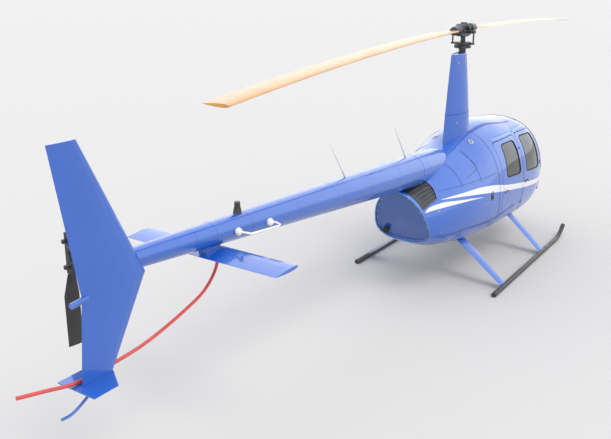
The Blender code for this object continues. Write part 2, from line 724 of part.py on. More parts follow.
# Fin sections: z, leading edge x, trailing edge x, thickness
UPPER_FIN = ((FIN_ROOT_Z, -5.775, -6.345, 0.050), (2.872, -6.285, -6.512, 0.026))
LOWER_FIN = ((FIN_ROOT_Z - SEAT_GAP, -5.775, -6.345, 0.050), (PLATE_TOP_Z + SEAT_GAP, -6.135, -6.405, 0.030))


def fin_ring(z, nose, tail, thick):
    outline = airfoil(nose - tail, thick / (nose - tail))
    return [(nose - along, FIN_Y + across * (nose - tail), z) for along, across in outline]


for name, sections in (("upper_fin", UPPER_FIN), ("lower_fin", LOWER_FIN)):
    object_of(name, loft_bmesh([fin_ring(*section) for section in sections]), BLUE)

END_PLATE = ((-6.13, 0.0), (-6.25, -0.178), (-6.46, -0.178), (-6.46, 0.178), (-6.25, 0.178))
plate_outline = [(x, y + FIN_Y) for x, y in END_PLATE]
prism("end_plate", plate_outline, "Z", PLATE_TOP_Z - PLATE_THICK, PLATE_TOP_Z, BLUE, parts)

TAIL_SKID_R = 0.011
skid_top = PLATE_TOP_Z - PLATE_THICK - SEAT_GAP
# The tail skid's route in X and Z, under the lower fin
TAIL_SKID = ((-6.300, skid_top + 0.01), (-6.315, 1.165), (-6.375, 1.120), (-6.450, 1.082), (-6.520, 1.060),
             (-6.590, 1.062))
tail_skid = tube("tail_skid", smooth_route([(x, FIN_Y, z) for x, z in TAIL_SKID], 3), TAIL_SKID_R, BLUE)
boolean(tail_skid, box("plate room", (-6.5, -0.4, skid_top), (-6.1, 0.1, skid_top + 0.1), into=cutters))
baked(tail_skid)

tail_light = drum("tail_light", (-6.30, FIN_Y, 1.822), (-6.435, FIN_Y, 1.808), 0.021, skin=BLUE)
boolean(tail_light, box("fin edge", (-6.3505, FIN_Y - 0.006, 1.7), (-6.2, FIN_Y + 0.006, 1.9), into=cutters))
baked(tail_light)

STAB_Z = 1.670
STAB_CHORD = 0.300
STAB_NOSE_X = -4.747
STAB_HALF = 0.776
STAB_THICK = 0.11           # share of its chord
stab_outline = airfoil(STAB_CHORD, STAB_THICK)
stab_rings = [[(STAB_NOSE_X - along, y, STAB_Z + across * STAB_CHORD) for along, across in stab_outline]
              for y in (-STAB_HALF, STAB_HALF)]
stabilizer = object_of("horizontal_stabilizer", loft_bmesh(stab_rings), BLUE)
stab_mount = box("stab mount", (-4.97, -0.045, STAB_Z), (-4.80, 0.045, 1.80), BLUE)
joined("horizontal_stabilizer", stabilizer, [stab_mount], BLUE)
boolean(stabilizer, cone_room)
baked(stabilizer)

GUARD_R = 0.014
guard_rest = PLATE_TOP_Z + GUARD_R + SEAT_GAP
TAIL_GUARD = (
    (-4.782, 0.000, 1.666), (-4.785, 0.000, 1.600), (-4.812, 0.000, 1.500), (-4.900, -0.005, 1.405),
    (-5.030, -0.010, 1.330), (-5.280, -0.030, 1.272), (-5.540, -0.060, 1.236), (-5.800, -0.100, 1.226),
    (-6.080, -0.130, guard_rest + 0.001), (-6.240, -0.134, guard_rest), (-6.440, -0.130, guard_rest + 0.006),
    (-6.640, -0.118, 1.280), (-6.846, -0.102, 1.323),
)
guard = tube("tail_guard", smooth_route(TAIL_GUARD, 3), GUARD_R, RED)
stab_side = tuple((STAB_NOSE_X - along, STAB_Z + across * STAB_CHORD) for along, across in stab_outline)
boolean(guard, prism("stab room", shrunk(stab_side, -SEAT_GAP), "Y", -0.1, 0.1))
baked(guard)


# Beacon, antennas
BEACON_X = -4.52
# Drums of the beacon, from the foot up: start and end above the cone's skin, start and end radius
BEACON = ((-0.020, 0.045, 0.042, 0.030), (0.040, 0.098, 0.027, 0.025))
beacon_z = cone_z(BEACON_X) + cone_radius(BEACON_X)
beacon, beacon_lamp = [
    drum("beacon", (BEACON_X, 0, beacon_z + low), (BEACON_X, 0, beacon_z + high), *radii, skin=BLACK)
    for low, high, *radii in BEACON
]
joined("beacon", beacon, [beacon_lamp], BLACK)
boolean(beacon, cone_room)
baked(beacon)

# Whips: station x of the foot, x of the tip, z of the tip
WHIPS = (("antenna_front", -1.430, -1.745, 2.145), ("antenna_aft", -2.770, -3.080, 2.212))
for name, foot_x, tip_x, tip_z in WHIPS:
    foot = (foot_x, 0, cone_z(foot_x) + cone_radius(foot_x) - 0.01)
    whip = drum(name, foot, (tip_x, 0, tip_z), 0.013, 0.005, sides=10, skin=WHITE)
    boolean(whip, cone_room)
    baked(whip)

# The navigation antennas: a bent white rod along each flank of the cone, with a ball at each foot
NAV_FEET = (-4.66, -4.24)   # stations, rear and front
NAV_BALL_R = 0.034
NAV_ROD_R = 0.009
# Points of the rod between its feet: x ahead of the near foot, y out from it, z above it
NAV_REAR_BEND = ((0.03, 0.060, -0.008), (0.06, 0.090, -0.018))
NAV_FRONT_BEND = ((0.02, 0.080, -0.026), (0.05, 0.070, -0.024), (0.05, 0.030, -0.010))
for side, sign in SIDES:
    feet = [Vector((x, sign * (cone_radius(x) + 0.012), cone_z(x))) for x in NAV_FEET]
    bends = [(feet[0], NAV_REAR_BEND), (feet[1], NAV_FRONT_BEND)]
    middle = [foot + Vector((x, sign * y, z)) for foot, bend in bends for x, y, z in bend]
    rod = tube("nav_antenna_" + side, [feet[0], *middle, feet[1]], NAV_ROD_R, WHITE, bend=1)
    balls = []
    for foot in feet:
        bm = bmesh.new()
        bmesh.ops.create_uvsphere(bm, u_segments=12, v_segments=8, radius=NAV_BALL_R)
        bmesh.ops.translate(bm, verts=bm.verts, vec=foot)
        balls.append(object_of("ball", bm, WHITE))
    joined("nav_antenna_" + side, rod, balls, WHITE)
    boolean(rod, cone_room)
    baked(rod)


# Landing gear
SKID_SIDES = 10
SKID_Z = SKID_TUBE * math.cos(math.pi / SKID_SIDES)     # its flats rest on the ground
# A skid's middle line: station x, and how far it has risen there
SKID_ROUTE = ((-0.81, 0.0), (1.62, 0.0), (1.70, 0.006), (1.78, 0.028), (1.86, 0.066), (1.95, 0.131))
for side, sign in SIDES:
    tube("skid_" + side, [(x, sign * SKID_Y, SKID_Z + rise) for x, rise in SKID_ROUTE], SKID_TUBE, BLACK, bend=3)

# Cross tubes: name, station x, then y and z of the leg's top inside the body, chord at its foot and its top,
# and how far out the strap under the belly reaches
CROSS_TUBES = (
    ("front", 1.00, 0.36, 0.575, 0.140, 0.155, 0.475),
    ("rear", -0.47, 0.33, 0.559, 0.124, 0.200, 0.395),
)
LEG_FOOT_Z = SKID_TUBE * 1.2
LEG_FOOT_THICK = 0.034
LEG_TOP_THICK = 0.045
BAR_HALF = 0.030
BAR_DEPTH = 0.016           # how far the strap stands below the belly
LEG_NOSE = 0.45             # share of the leg's chord ahead of the cross tube
SKID_ROOM_SIDES = 24
belly_grown = body_solid("belly grown", -BAR_DEPTH)
for where, x, top_y, top_z, foot_chord, top_chord, reach in CROSS_TUBES:
    bar = box("cross_tube_" + where, (x - BAR_HALF, -reach, 0.40), (x + BAR_HALF, reach, top_z), BLUE)
    boolean(bar, belly_grown, "INTERSECT")
    legs = []
    leg_ends = ((SKID_Y, LEG_FOOT_Z, foot_chord, LEG_FOOT_THICK), (top_y, top_z, top_chord, LEG_TOP_THICK))
    for side, sign in SIDES:
        rings = [[(x + chord * LEG_NOSE - along, sign * y, z + across * chord)
                  for along, across in airfoil(chord, thick / chord)] for y, z, chord, thick in leg_ends]
        legs.append(object_of("leg", loft_bmesh(rings), BLUE))
    joined("cross_tube_" + where, bar, legs, BLUE)
    for side, sign in SIDES:
        ends = [(end_x, sign * SKID_Y, SKID_Z) for end_x in (x - 0.3, x + 0.3)]
        grown = SKID_TUBE / math.cos(math.pi / SKID_ROOM_SIDES) + SEAT_GAP
        boolean(bar, drum("skid room", *ends, grown, sides=SKID_ROOM_SIDES, into=cutters))
    boolean(bar, body_grown)
    baked(bar)


# Cabin inside
ON_FLOOR = FLOOR_Z + SEAT_GAP
# A seat from the side, in X from the back of its cushion and Z: box, cushion and leaning back
SEAT = ((-0.02, ON_FLOOR), (0.46, ON_FLOOR), (0.48, 0.86), (0.44, 0.90), (0.12, 0.885), (0.02, 1.45),
        (-0.04, 1.48), (-0.09, 1.44))
SEAT_Y = 0.285
# Seat rows: name, x of the back of the cushion, width
SEAT_ROWS = (("front", 1.02, 0.46), ("rear", 0.27, 0.50))
for row, seat_x, width in SEAT_ROWS:
    for side, sign in SIDES:
        span = (sign * SEAT_Y - width / 2, sign * SEAT_Y + width / 2)
        seat = prism(f"seat_{row}_{side}", [(seat_x + x, z) for x, z in SEAT], "Y", *span, LEATHER, parts)
        boolean(seat, cabin_space, "INTERSECT")
        baked(seat)

CONSOLE = ((1.86, ON_FLOOR), (2.06, ON_FLOOR), (2.10, 0.92), (1.98, 1.20), (1.90, 1.20), (1.84, 0.90))
console = prism("instrument_console", CONSOLE, "Y", -0.20, 0.20, PLASTIC, parts)
boolean(console, cabin_space, "INTERSECT")
baked(console)

STICK = ((1.62, 0, ON_FLOOR), (1.62, 0, 0.80), (1.60, 0, 1.02))
# The cross bar of the stick, in Y and Z
CROSSBAR = ((-0.30, 0.93), (-0.29, 1.02), (-0.20, 1.03), (0.20, 1.03), (0.29, 1.02), (0.30, 0.93))
stick = tube("cyclic_control", STICK, 0.016, STEEL)
crossbar = tube("crossbar", [(1.60, y, z) for y, z in CROSSBAR], 0.012, STEEL)
joined("cyclic_control", stick, [crossbar], STEEL)
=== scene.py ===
"""The looks of a light four-seat piston helicopter, parked on its skids.

Metres, +X towards the nose, +Y to the left, +Z up. Places are measured from the main
rotor's axis on the ground, and every piece's object stands there or on its own rotor's axis.
"""

import json
import math

import bmesh
import bpy
import numpy as np
from mathutils import Matrix, Vector, geometry


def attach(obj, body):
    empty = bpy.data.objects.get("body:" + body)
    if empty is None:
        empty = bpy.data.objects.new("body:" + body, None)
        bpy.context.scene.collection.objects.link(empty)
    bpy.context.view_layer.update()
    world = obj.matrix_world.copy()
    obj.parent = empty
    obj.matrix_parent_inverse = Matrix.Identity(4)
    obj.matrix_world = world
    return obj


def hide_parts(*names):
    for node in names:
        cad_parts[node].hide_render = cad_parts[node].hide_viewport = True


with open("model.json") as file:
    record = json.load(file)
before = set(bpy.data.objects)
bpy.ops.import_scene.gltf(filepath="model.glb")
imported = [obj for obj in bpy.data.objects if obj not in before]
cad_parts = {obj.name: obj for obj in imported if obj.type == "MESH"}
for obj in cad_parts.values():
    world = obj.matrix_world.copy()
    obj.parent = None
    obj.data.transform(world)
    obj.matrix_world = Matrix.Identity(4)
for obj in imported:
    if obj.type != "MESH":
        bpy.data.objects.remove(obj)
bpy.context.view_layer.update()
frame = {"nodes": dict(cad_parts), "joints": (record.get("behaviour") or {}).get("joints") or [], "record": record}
joints = {joint["name"]: joint for joint in frame["joints"]}

# Places shared with the solids
HUB = Vector(joints["main_rotor_spin"]["pos_m"])
MAST_X = HUB.x
HUB_Z = HUB.z
TAIL_HUB = Vector(joints["tail_rotor_spin"]["pos_m"]) - Vector((MAST_X, 0, 0))
ROTOR_RADIUS = 5.03
ROTOR_CHORD = 0.254
ROTOR_THICK = 0.030
ROTOR_TURN = math.radians(3.2)
BLADE_ROOT = 0.34
BLADE_TIP_DROP = 0.185
TAIL_RADIUS = 0.737
TAIL_CHORD = 0.13
SKID_Y = 0.965
SKID_TUBE = 0.032
CABIN_WALL = 0.040
COWL_WALL = 0.016
DOOR_GAP = 0.007
CABIN_BACK = 0.04
COWL_BACK = -1.46
COWL_BACK_Z = 0.95
COWL_BACK_LEAN = 0.42
COWL_SPLIT_Z = 1.33
SIDES = (("left", 1), ("right", -1))

# Body sections from the nose back: station x, belly z, roof z, z of the widest line,
# half width, and how square the top and the belly are (2 is an ellipse)
BODY_SECTIONS = (
    (2.400, 0.840, 0.980, 0.91, 0.080, 2.0, 2.0),
    (2.330, 0.684, 1.160, 0.91, 0.288, 2.1, 2.3),
    (2.140, 0.570, 1.390, 0.91, 0.451, 2.15, 2.6),
    (1.840, 0.492, 1.640, 0.92, 0.574, 2.4, 2.8),
    (1.450, 0.445, 1.778, 0.94, 0.644, 2.5, 3.0),
    (1.000, 0.430, 1.838, 0.97, 0.660, 2.25, 3.0),
    (0.500, 0.450, 1.872, 0.98, 0.653, 2.15, 3.0),
    (0.000, 0.473, 1.820, 0.98, 0.636, 2.1, 3.0),
    (-0.400, 0.475, 1.707, 0.98, 0.608, 2.0, 2.6),
    (-0.800, 0.530, 1.600, 0.97, 0.550, 2.0, 2.4),
    (-1.200, 0.620, 1.470, 0.97, 0.450, 2.0, 2.7),
    (-1.460, 0.750, 1.410, 0.96, 0.360, 2.0, 3.0),
    (-1.700, 0.920, 1.370, 1.00, 0.290, 2.0, 3.0),
)

# Tail cone
CONE_FRONT_X = -1.15
CONE_BACK_X = -5.78
CONE_FRONT_Z = 1.536
CONE_RISE = 0.0729
CONE_FRONT_R = 0.198
CONE_BACK_R = 0.080
CONE_NOSE_X = -0.42

# Side outlines in X and Z
DOOR_FRONT = ((0.890, 0.60), (0.890, 1.67), (1.470, 1.65), (1.700, 1.10), (1.735, 0.95), (1.735, 0.62))
DOOR_REAR = ((0.210, 0.60), (0.120, 0.85), (0.160, 1.665), (0.850, 1.67), (0.850, 0.60))
WINDOW_FRONT = ((0.980, 1.158), (0.990, 1.615), (1.420, 1.595), (1.560, 1.102))
WINDOW_REAR = ((0.290, 1.215), (0.350, 1.612), (0.755, 1.606), (0.757, 1.180))
WINDSHIELD = ((1.850, 0.985), (1.550, 1.66), (1.440, 1.79), (1.300, 2.10), (2.700, 2.10), (2.700, 0.985))
GRILLE = ((-1.520, 1.180), (-1.270, 1.262), (-1.225, 1.360), (-1.215, 1.440), (-1.590, 1.385))
CORNER_R = 0.055
POST_HALF = 0.022


# Materials
def srgb(red, green, blue):
    """A colour given as it looks on a screen, from 0 to 255, as the shader wants it."""
    channels = [value / 255 for value in (red, green, blue)]
    return [c / 12.92 if c <= 0.04045 else ((c + 0.055) / 1.055) ** 2.4 for c in channels]


class Paint:
    """A Principled material, and the nodes that give it its grain, wear and pattern."""

    def __init__(self, name, colour, roughness, metallic=0.0, **sockets):
        self.material = bpy.data.materials.new(name)
        self.material.use_nodes = True
        self.tree = self.material.node_tree
        self.shader = self.tree.nodes["Principled BSDF"]
        self.colour = colour
        self.shader.inputs["Base Color"].default_value = (*colour, 1)
        self.shader.inputs["Roughness"].default_value = roughness
        self.shader.inputs["Metallic"].default_value = metallic
        for socket, value in sockets.items():
            self.shader.inputs[socket.replace("_", " ")].default_value = value
        self.material.diffuse_color = (*colour, 1)
        self.place = self.node("ShaderNodeTexCoord").outputs["Object"]

    def node(self, kind, **settings):
        made = self.tree.nodes.new(kind)
        for key, value in settings.items():
            setattr(made, key, value)
        return made

    def join(self, output, node, socket):
        self.tree.links.new(output, node.inputs[socket])

    def noise(self, scale, detail=3.0, stretch=None):
        """Soft noise over the piece, finer with a larger scale."""
        made = self.node("ShaderNodeTexNoise")
        made.inputs["Scale"].default_value = scale
        made.inputs["Detail"].default_value = detail
        place = self.place
        if stretch:
            mapping = self.node("ShaderNodeMapping")
            mapping.inputs["Scale"].default_value = stretch
            self.join(place, mapping, "Vector")
            place = mapping.outputs["Vector"]
        self.join(place, made, "Vector")
        return made.outputs["Fac"]

    def ranged(self, value, low, high, from_low=0.3, from_high=0.7):
        made = self.node("ShaderNodeMapRange")
        for socket, number in (("From Min", from_low), ("From Max", from_high), ("To Min", low), ("To Max", high)):
            made.inputs[socket].default_value = number
        self.join(value, made, "Value")
        return made.outputs["Result"]

    def math(self, operation, a, b=None):
        made = self.node("ShaderNodeMath", operation=operation)
        for socket, value in zip((0, 1), (a, b)):
            if isinstance(value, (int, float)):
                made.inputs[socket].default_value = value
            elif value is not None:
                self.join(value, made, socket)
        return made.outputs["Value"]

    def mix(self, share, first, second):
        """Two colours mixed by a share. Each is a colour or a node's output."""
        made = self.node("ShaderNodeMix", data_type="RGBA")
        self.join(share, made, "Factor")
        for socket, value in (("A", first), ("B", second)):
            target = [i for i in made.inputs if i.name == socket and i.type == "RGBA"][0]
            if isinstance(value, bpy.types.NodeSocket):
                self.tree.links.new(value, target)
            else:
                target.default_value = (*value, 1)
        return [o for o in made.outputs if o.type == "RGBA"][0]

    def coloured(self, output):
        self.join(output, self.shader, "Base Color")
        return self

    def varied(self, other, scale, share=1.0, detail=3.0, stretch=None):
        """Blotches of another colour, laid over the plain one."""
        amount = self.ranged(self.noise(scale, detail, stretch), 0.0, share)
        return self.coloured(self.mix(amount, self.colour, other))

    def rough(self, low, high, scale, detail=4.0, stretch=None):
        self.join(self.ranged(self.noise(scale, detail, stretch), low, high), self.shader, "Roughness")
        return self

    def bumped(self, height, strength, distance=0.001):
        made = self.node("ShaderNodeBump")
        made.inputs["Strength"].default_value = strength
        made.inputs["Distance"].default_value = distance
        self.join(height, made, "Height")
        self.join(made.outputs["Normal"], self.shader, "Normal")
        return self

    def axis(self, index):
        """One coordinate of the piece's own space, in metres."""
        made = self.node("ShaderNodeSeparateXYZ")
        self.join(self.place, made, "Vector")
        return made.outputs[index]

    def curve(self, along, points, low=-3.0, high=3.0):
        """A value that follows a list of (along, value) points, straight from each to the next."""
        share = self.ranged(along, 0.0, 1.0, low, high)
        made = self.node("ShaderNodeFloatCurve")
        line = made.mapping.curves[0]
        made.mapping.use_clip = False
        spots = [((x - low) / (high - low), y) for x, y in sorted(points)]
        line.points[0].location, line.points[-1].location = spots[0], spots[-1]
        for spot in spots[1:-1]:
            line.points.new(*spot)
        for point in line.points:
            point.handle_type = "AUTO"
        made.mapping.update()
        self.join(share, made, "Value")
        return made.outputs["Value"]

    def inside(self, value, low, high, soft=0.0015):
        """1 where the value lies between two others, and 0 elsewhere, over a short soft edge."""
        above = self.math("SUBTRACT", value, low)
        below = self.math("SUBTRACT", high, value)
        nearest = self.math("MINIMUM", above, below)
        return self.ranged(nearest, 0.0, 1.0, -soft / 2, soft / 2)


BLUE = (0.0040, 0.0740, 0.3700)
BLUE_WORN = (0.0060, 0.0860, 0.4000)
STRIPE = srgb(206, 207, 212)

# The stripes on each flank: x, then the z of the upper and the lower edge
UPPER_STRIPE = ((-1.210, 1.242, 1.240), (-0.860, 1.248, 1.212), (-0.410, 1.236, 1.155), (0.370, 1.102, 1.025),
                (1.620, 0.915, 0.853), (2.300, 0.850, 0.805))
LOWER_STRIPE = ((-1.500, 1.146, 1.142), (-1.280, 1.204, 1.151), (-0.920, 1.179, 1.147), (-0.417, 1.114, 1.112))


def gloss_paint(name, colour=BLUE, worn=BLUE_WORN):
    made = Paint(name, colour, 0.34, Coat_Weight=1.0, Coat_Roughness=0.045, Coat_IOR=1.55)
    made.varied(worn, 1.7, 0.8)
    made.rough(0.28, 0.42, 6.0)
    made.bumped(made.noise(210.0, 2.0), 0.035, 0.0004)
    return made


def striped_paint(name):
    """The body's blue, with the two pale stripes that run forward along each flank."""
    made = gloss_paint(name)
    x, z = made.axis(0), made.axis(2)
    blue = made.shader.inputs["Base Color"].links[0].from_socket
    masks = []
    for points in (UPPER_STRIPE, LOWER_STRIPE):
        top = made.curve(x, [(px, high) for px, high, low in points])
        bottom = made.curve(x, [(px, low) for px, high, low in points])
        along = made.inside(x, points[0][0], points[-1][0], 0.004)
        masks.append(made.math("MULTIPLY", made.inside(z, bottom, top), along))
    shown = made.math("MAXIMUM", *masks)
    made.coloured(made.mix(shown, blue, STRIPE))
    return made


BODY_PAINT = striped_paint("striped gloss paint").material
PLAIN_PAINT = gloss_paint("gloss paint").material
# A lighter copy of the body's blue: a painted highlight on the rolled rims, also used for the door gutters and the fuel
# cap rings
PALE_HIGHLIGHT_PAINT = gloss_paint("pale gloss paint with painted highlight", (0.030, 0.170, 0.500), (0.045, 0.200, 0.540)).material
# A darker copy of the body's blue: painted shade on the rear face, which looks down and back at the ground
SHADED_PANEL_PAINT = gloss_paint("rear panel paint darkened for painted shade", (0.0030, 0.0500, 0.2500), (0.0035, 0.0560, 0.2700)).material


def rubber():
    made = Paint("black rubber", (0.010, 0.010, 0.011), 0.6, Specular_IOR_Level=0.3)
    return made.rough(0.5, 0.8, 60.0).bumped(made.noise(400.0), 0.15, 0.0005).material


def black_paint():
    made = Paint("worn black paint", (0.011, 0.011, 0.012), 0.42, Coat_Weight=0.25, Coat_Roughness=0.2)
    made.varied((0.030, 0.028, 0.026), 9.0, 0.7, 6.0)
    return made.rough(0.32, 0.62, 22.0).bumped(made.noise(160.0, 4.0), 0.08, 0.0006).material


def dark_steel():
    made = Paint("dark coated steel", (0.040, 0.042, 0.046), 0.40, 0.75)
    made.varied((0.085, 0.085, 0.088), 26.0, 0.8, 6.0)
    return made.rough(0.28, 0.55, 34.0).bumped(made.noise(180.0, 4.0), 0.10, 0.0004).material


def bright_steel():
    made = Paint("bright steel", (0.50, 0.50, 0.51), 0.28, 1.0)
    made.varied((0.36, 0.35, 0.34), 40.0, 0.7, 5.0)
    return made.rough(0.18, 0.42, 50.0, stretch=(1, 1, 8)).material


def seam_line():
    made = Paint("seam shadow", (0.0015, 0.0150, 0.0650), 0.55)
    return made.rough(0.5, 0.7, 30.0).material


def rivet_paint():
    made = Paint("rivet heads", (0.0060, 0.0900, 0.4200), 0.30, Coat_Weight=1.0, Coat_Roughness=0.06)
    return made.rough(0.25, 0.40, 20.0).material


def tinted_acrylic():
    made = Paint("tinted acrylic", (0.16, 0.20, 0.19), 0.03, IOR=1.49, Transmission_Weight=1.0, Coat_Weight=0.4)
    return made.rough(0.015, 0.05, 5.0).material


def window_tint():
    made = Paint("dark tinted acrylic", (0.045, 0.052, 0.050), 0.03, IOR=1.49, Transmission_Weight=1.0, Coat_Weight=0.4)
    return made.rough(0.015, 0.05, 5.0).material


def white_enamel():
    made = Paint("off-white enamel", srgb(226, 222, 214), 0.35, Coat_Weight=0.5, Coat_Roughness=0.1)
    made.varied(srgb(200, 192, 180), 12.0, 0.6, 5.0)
    return made.rough(0.3, 0.5, 18.0).material


def leather():
    made = Paint("grey leather", (0.115, 0.112, 0.110), 0.52, Sheen_Weight=0.15)
    made.varied((0.085, 0.082, 0.080), 7.0, 0.8, 5.0)
    cells = made.node("ShaderNodeTexVoronoi", feature="DISTANCE_TO_EDGE")
    cells.inputs["Scale"].default_value = 320.0
    made.join(made.place, cells, "Vector")
    return made.rough(0.42, 0.62, 40.0).bumped(cells.outputs["Distance"], 0.35, 0.0012).material


def carpet():
    made = Paint("dark carpet", (0.028, 0.030, 0.034), 0.95, Sheen_Weight=0.4)
    made.varied((0.050, 0.052, 0.058), 420.0, 1.0)
    return made.bumped(made.noise(700.0, 2.0), 0.8, 0.003).material


def black_plastic():
    made = Paint("moulded black plastic", (0.018, 0.018, 0.019), 0.5)
    made.varied((0.026, 0.026, 0.027), 14.0, 0.8)
    return made.rough(0.42, 0.6, 30.0).bumped(made.noise(900.0, 2.0), 0.3, 0.0006).material


def cabin_trim():
    made = Paint("pale cabin trim", (0.250, 0.245, 0.235), 0.7)
    made.varied((0.200, 0.196, 0.188), 9.0, 0.8)
    return made.rough(0.62, 0.8, 24.0).bumped(made.noise(520.0, 2.0), 0.4, 0.001).material


def cast_metal():
    made = Paint("cast aluminium", (0.23, 0.23, 0.235), 0.55, 0.85)
    made.varied((0.12, 0.115, 0.11), 8.0, 0.8, 6.0)
    return made.rough(0.45, 0.7, 30.0).bumped(made.noise(260.0, 5.0), 0.35, 0.001).material


def coloured_enamel(name, colour, worn, roughness=(0.32, 0.5)):
    made = Paint(name, colour, 0.4, Coat_Weight=0.5, Coat_Roughness=0.12)
    made.varied(worn, 6.0, 0.8, 6.0)
    return made.rough(*roughness, 14.0).bumped(made.noise(180.0), 0.05, 0.0004).material


RUBBER = rubber()
BLACK = black_paint()
STEEL = dark_steel()
BRIGHT = bright_steel()
SEAM = seam_line()
RIVET = rivet_paint()
ACRYLIC = tinted_acrylic()
DARK_ACRYLIC = window_tint()
WHITE = white_enamel()
LEATHER = leather()
CARPET = carpet()
PLASTIC = black_plastic()
TRIM = cabin_trim()
CAST = cast_metal()
RED = coloured_enamel("red enamel", srgb(196, 52, 40), srgb(170, 44, 36))
YELLOW_TRIM = coloured_enamel("ochre enamel", srgb(196, 140, 60), srgb(170, 120, 54))
SKIN_PAINTS = {"body_blue": PLAIN_PAINT, "black_paint": BLACK, "dark_steel": STEEL, "leather": LEATHER,
               "black_plastic": PLASTIC, "engine_metal": CAST, "white_plastic": WHITE, "red_white_tube": RED,
               "blade_yellow": YELLOW_TRIM, "tinted_glass": ACRYLIC}


# Mesh helpers
def rounded(corners, radius, steps=6):
    """The outline with each corner turned into an arc."""
    points = []
    count = len(corners)
    for i, corner in enumerate(corners):
        here = Vector(corner)
        back = (Vector(corners[i - 1]) - here).normalized()
        on = (Vector(corners[(i + 1) % count]) - here).normalized()
        half = back.angle(on) / 2
        reach = radius / math.tan(half)
        centre = here + (back + on).normalized() * radius / math.sin(half)
        first = here + back * reach - centre
        last = here + on * reach - centre
        turn = first.angle_signed(last)
        for step in range(steps + 1):
            arm = first.copy()
            arm.rotate(Matrix.Rotation(-turn * step / steps, 2))
            points.append(tuple(centre + arm))
    return points


def shrunk(corners, gap):
    """The outline with each side moved in by a gap, or out by a negative one."""
    count = len(corners)
    area = sum(a[0] * b[1] - b[0] * a[1] for a, b in zip(corners, corners[1:] + corners[:1]))
    side = 1 if area > 0 else -1
    moved = []
    for i, corner in enumerate(corners):
        before = (Vector(corner) - Vector(corners[i - 1])).normalized()
        after = (Vector(corners[(i + 1) % count]) - Vector(corner)).normalized()
        inward = Vector((-before.y, before.x)) + Vector((-after.y, after.x))
        inward = inward / (1 + before.dot(after)) * side
        moved.append(tuple(Vector(corner) + inward * gap))
    return tuple(moved)


def between(a, b, c, d, t):
    """The place a share t of the way from b to c on a smooth curve through all four."""
    return (b * 2 + (c - a) * t + (a * 2 - b * 5 + c * 4 - d) * t * t
            + (b * 3 - a - c * 3 + d) * t * t * t) * 0.5


def smooth_route(points, steps=6):
    points = [Vector(p) for p in points]
    ends = [points[0] * 2 - points[1]] + points + [points[-1] * 2 - points[-2]]
    route = []
    for a, b, c, d in zip(ends, ends[1:], ends[2:], ends[3:]):
        route += [between(a, b, c, d, step / steps) for step in range(steps)]
    return route + [points[-1]]


def airfoil(chord, thick, steps=20):
    """A symmetric aerofoil outline, its nose at 0 and its tail at chord, and across as a share of the chord."""
    upper = []
    for i in range(steps + 1):
        share = (1 - math.cos(math.pi * i / steps)) / 2
        half = 5 * thick * (0.2969 * math.sqrt(share) - 0.126 * share - 0.3516 * share ** 2
                            + 0.2843 * share ** 3 - 0.1 * share ** 4)
        upper.append((share * chord, half))
    lower = [(along, -half) for along, half in reversed(upper[1:-1])]
    return upper[:-1] + [(chord, 0.0012), (chord, -0.0012)] + lower


def loft(rings, caps=True):
    """A skin over rings that have the same number of points."""
    sides = len(rings[0])
    verts = [tuple(point) for ring in rings for point in ring]
    faces = []
    for row in range(len(rings) - 1):
        for i in range(sides):
            j = (i + 1) % sides
            faces.append((row * sides + i, row * sides + j, (row + 1) * sides + j, (row + 1) * sides + i))
    if caps:
        faces.append(tuple(range(sides)))
        faces.append(tuple(range((len(rings) - 1) * sides, len(rings) * sides)))
    return verts, faces


def tube(route, radius, sides=16):
    """A round tube along a route, with one radius or one for each point."""
    route = [Vector(point) for point in route]
    radii = radius if isinstance(radius, (list, tuple)) else [radius] * len(route)
    ways = [(b - a).normalized() for a, b in zip(route, route[1:])]
    ways = [ways[0]] + [(a + b).normalized() for a, b in zip(ways, ways[1:])] + [ways[-1]]
    out = ways[0].orthogonal().normalized()
    rings = []
    for point, way, r in zip(route, ways, radii):
        out = (out - way * out.dot(way)).normalized()
        side = way.cross(out)
        rings.append([point + (out * math.cos(a) + side * math.sin(a)) * r
                      for a in (2 * math.pi * i / sides for i in range(sides))])
    return loft(rings)


def turned(profile, start=(0, 0, 0), end=(0, 0, 1), sides=32):
    """A turned shape from start towards end: (height, radius) pairs, with heights in metres."""
    start = Vector(start)
    way = (Vector(end) - start).normalized()
    return tube_of([start + way * height for height, radius in profile], way, [r for h, r in profile], sides)


def tube_of(places, way, radii, sides):
    out = way.orthogonal().normalized()
    side = way.cross(out)
    rings = [[place + (out * math.cos(a) + side * math.sin(a)) * max(r, 0.00005)
              for a in (2 * math.pi * i / sides for i in range(sides))] for place, r in zip(places, radii)]
    return loft(rings)


def bar(start, end, radius, sides=20, lip=0.12):
    """A round bar with a small chamfer at both ends."""
    length = (Vector(end) - Vector(start)).length
    edge = min(radius * lip, length / 4)
    profile = ((0, radius - edge), (edge, radius), (length - edge, radius), (length, radius - edge))
    return turned(profile, start, end, sides)


def block(low, high, edge=0.003, steps=2):
    """A box with rounded edges."""
    bm = bmesh.new()
    bmesh.ops.create_cube(bm, size=1)
    size = [b - a for a, b in zip(low, high)]
    bmesh.ops.scale(bm, verts=bm.verts, vec=size)
    bmesh.ops.translate(bm, verts=bm.verts, vec=[(a + b) / 2 for a, b in zip(low, high)])
    bmesh.ops.bevel(bm, geom=bm.edges[:], offset=min(edge, min(size) * 0.45), segments=steps, affect="EDGES")
    return from_bmesh(bm)


def slab(outline, axis, low, high, edge=0.003):
    """A flat outline pushed along an axis, with its sharp edges eased."""
    place = {"X": lambda a, b, t: (t, a, b), "Y": lambda a, b, t: (a, t, b), "Z": lambda a, b, t: (a, b, t)}[axis]
    bm = bmesh.new()
    verts, faces = loft([[place(a, b, t) for a, b in outline] for t in (low, high)])
    made = [bm.verts.new(v) for v in verts]
    for face in faces:
        bm.faces.new([made[i] for i in face])
    if edge:
        rim = [e for e in bm.edges if len(e.link_faces) == 2 and e.calc_face_angle(0) > 0.9]
        bmesh.ops.bevel(bm, geom=rim, offset=edge, segments=2, affect="EDGES")
    return from_bmesh(bm)


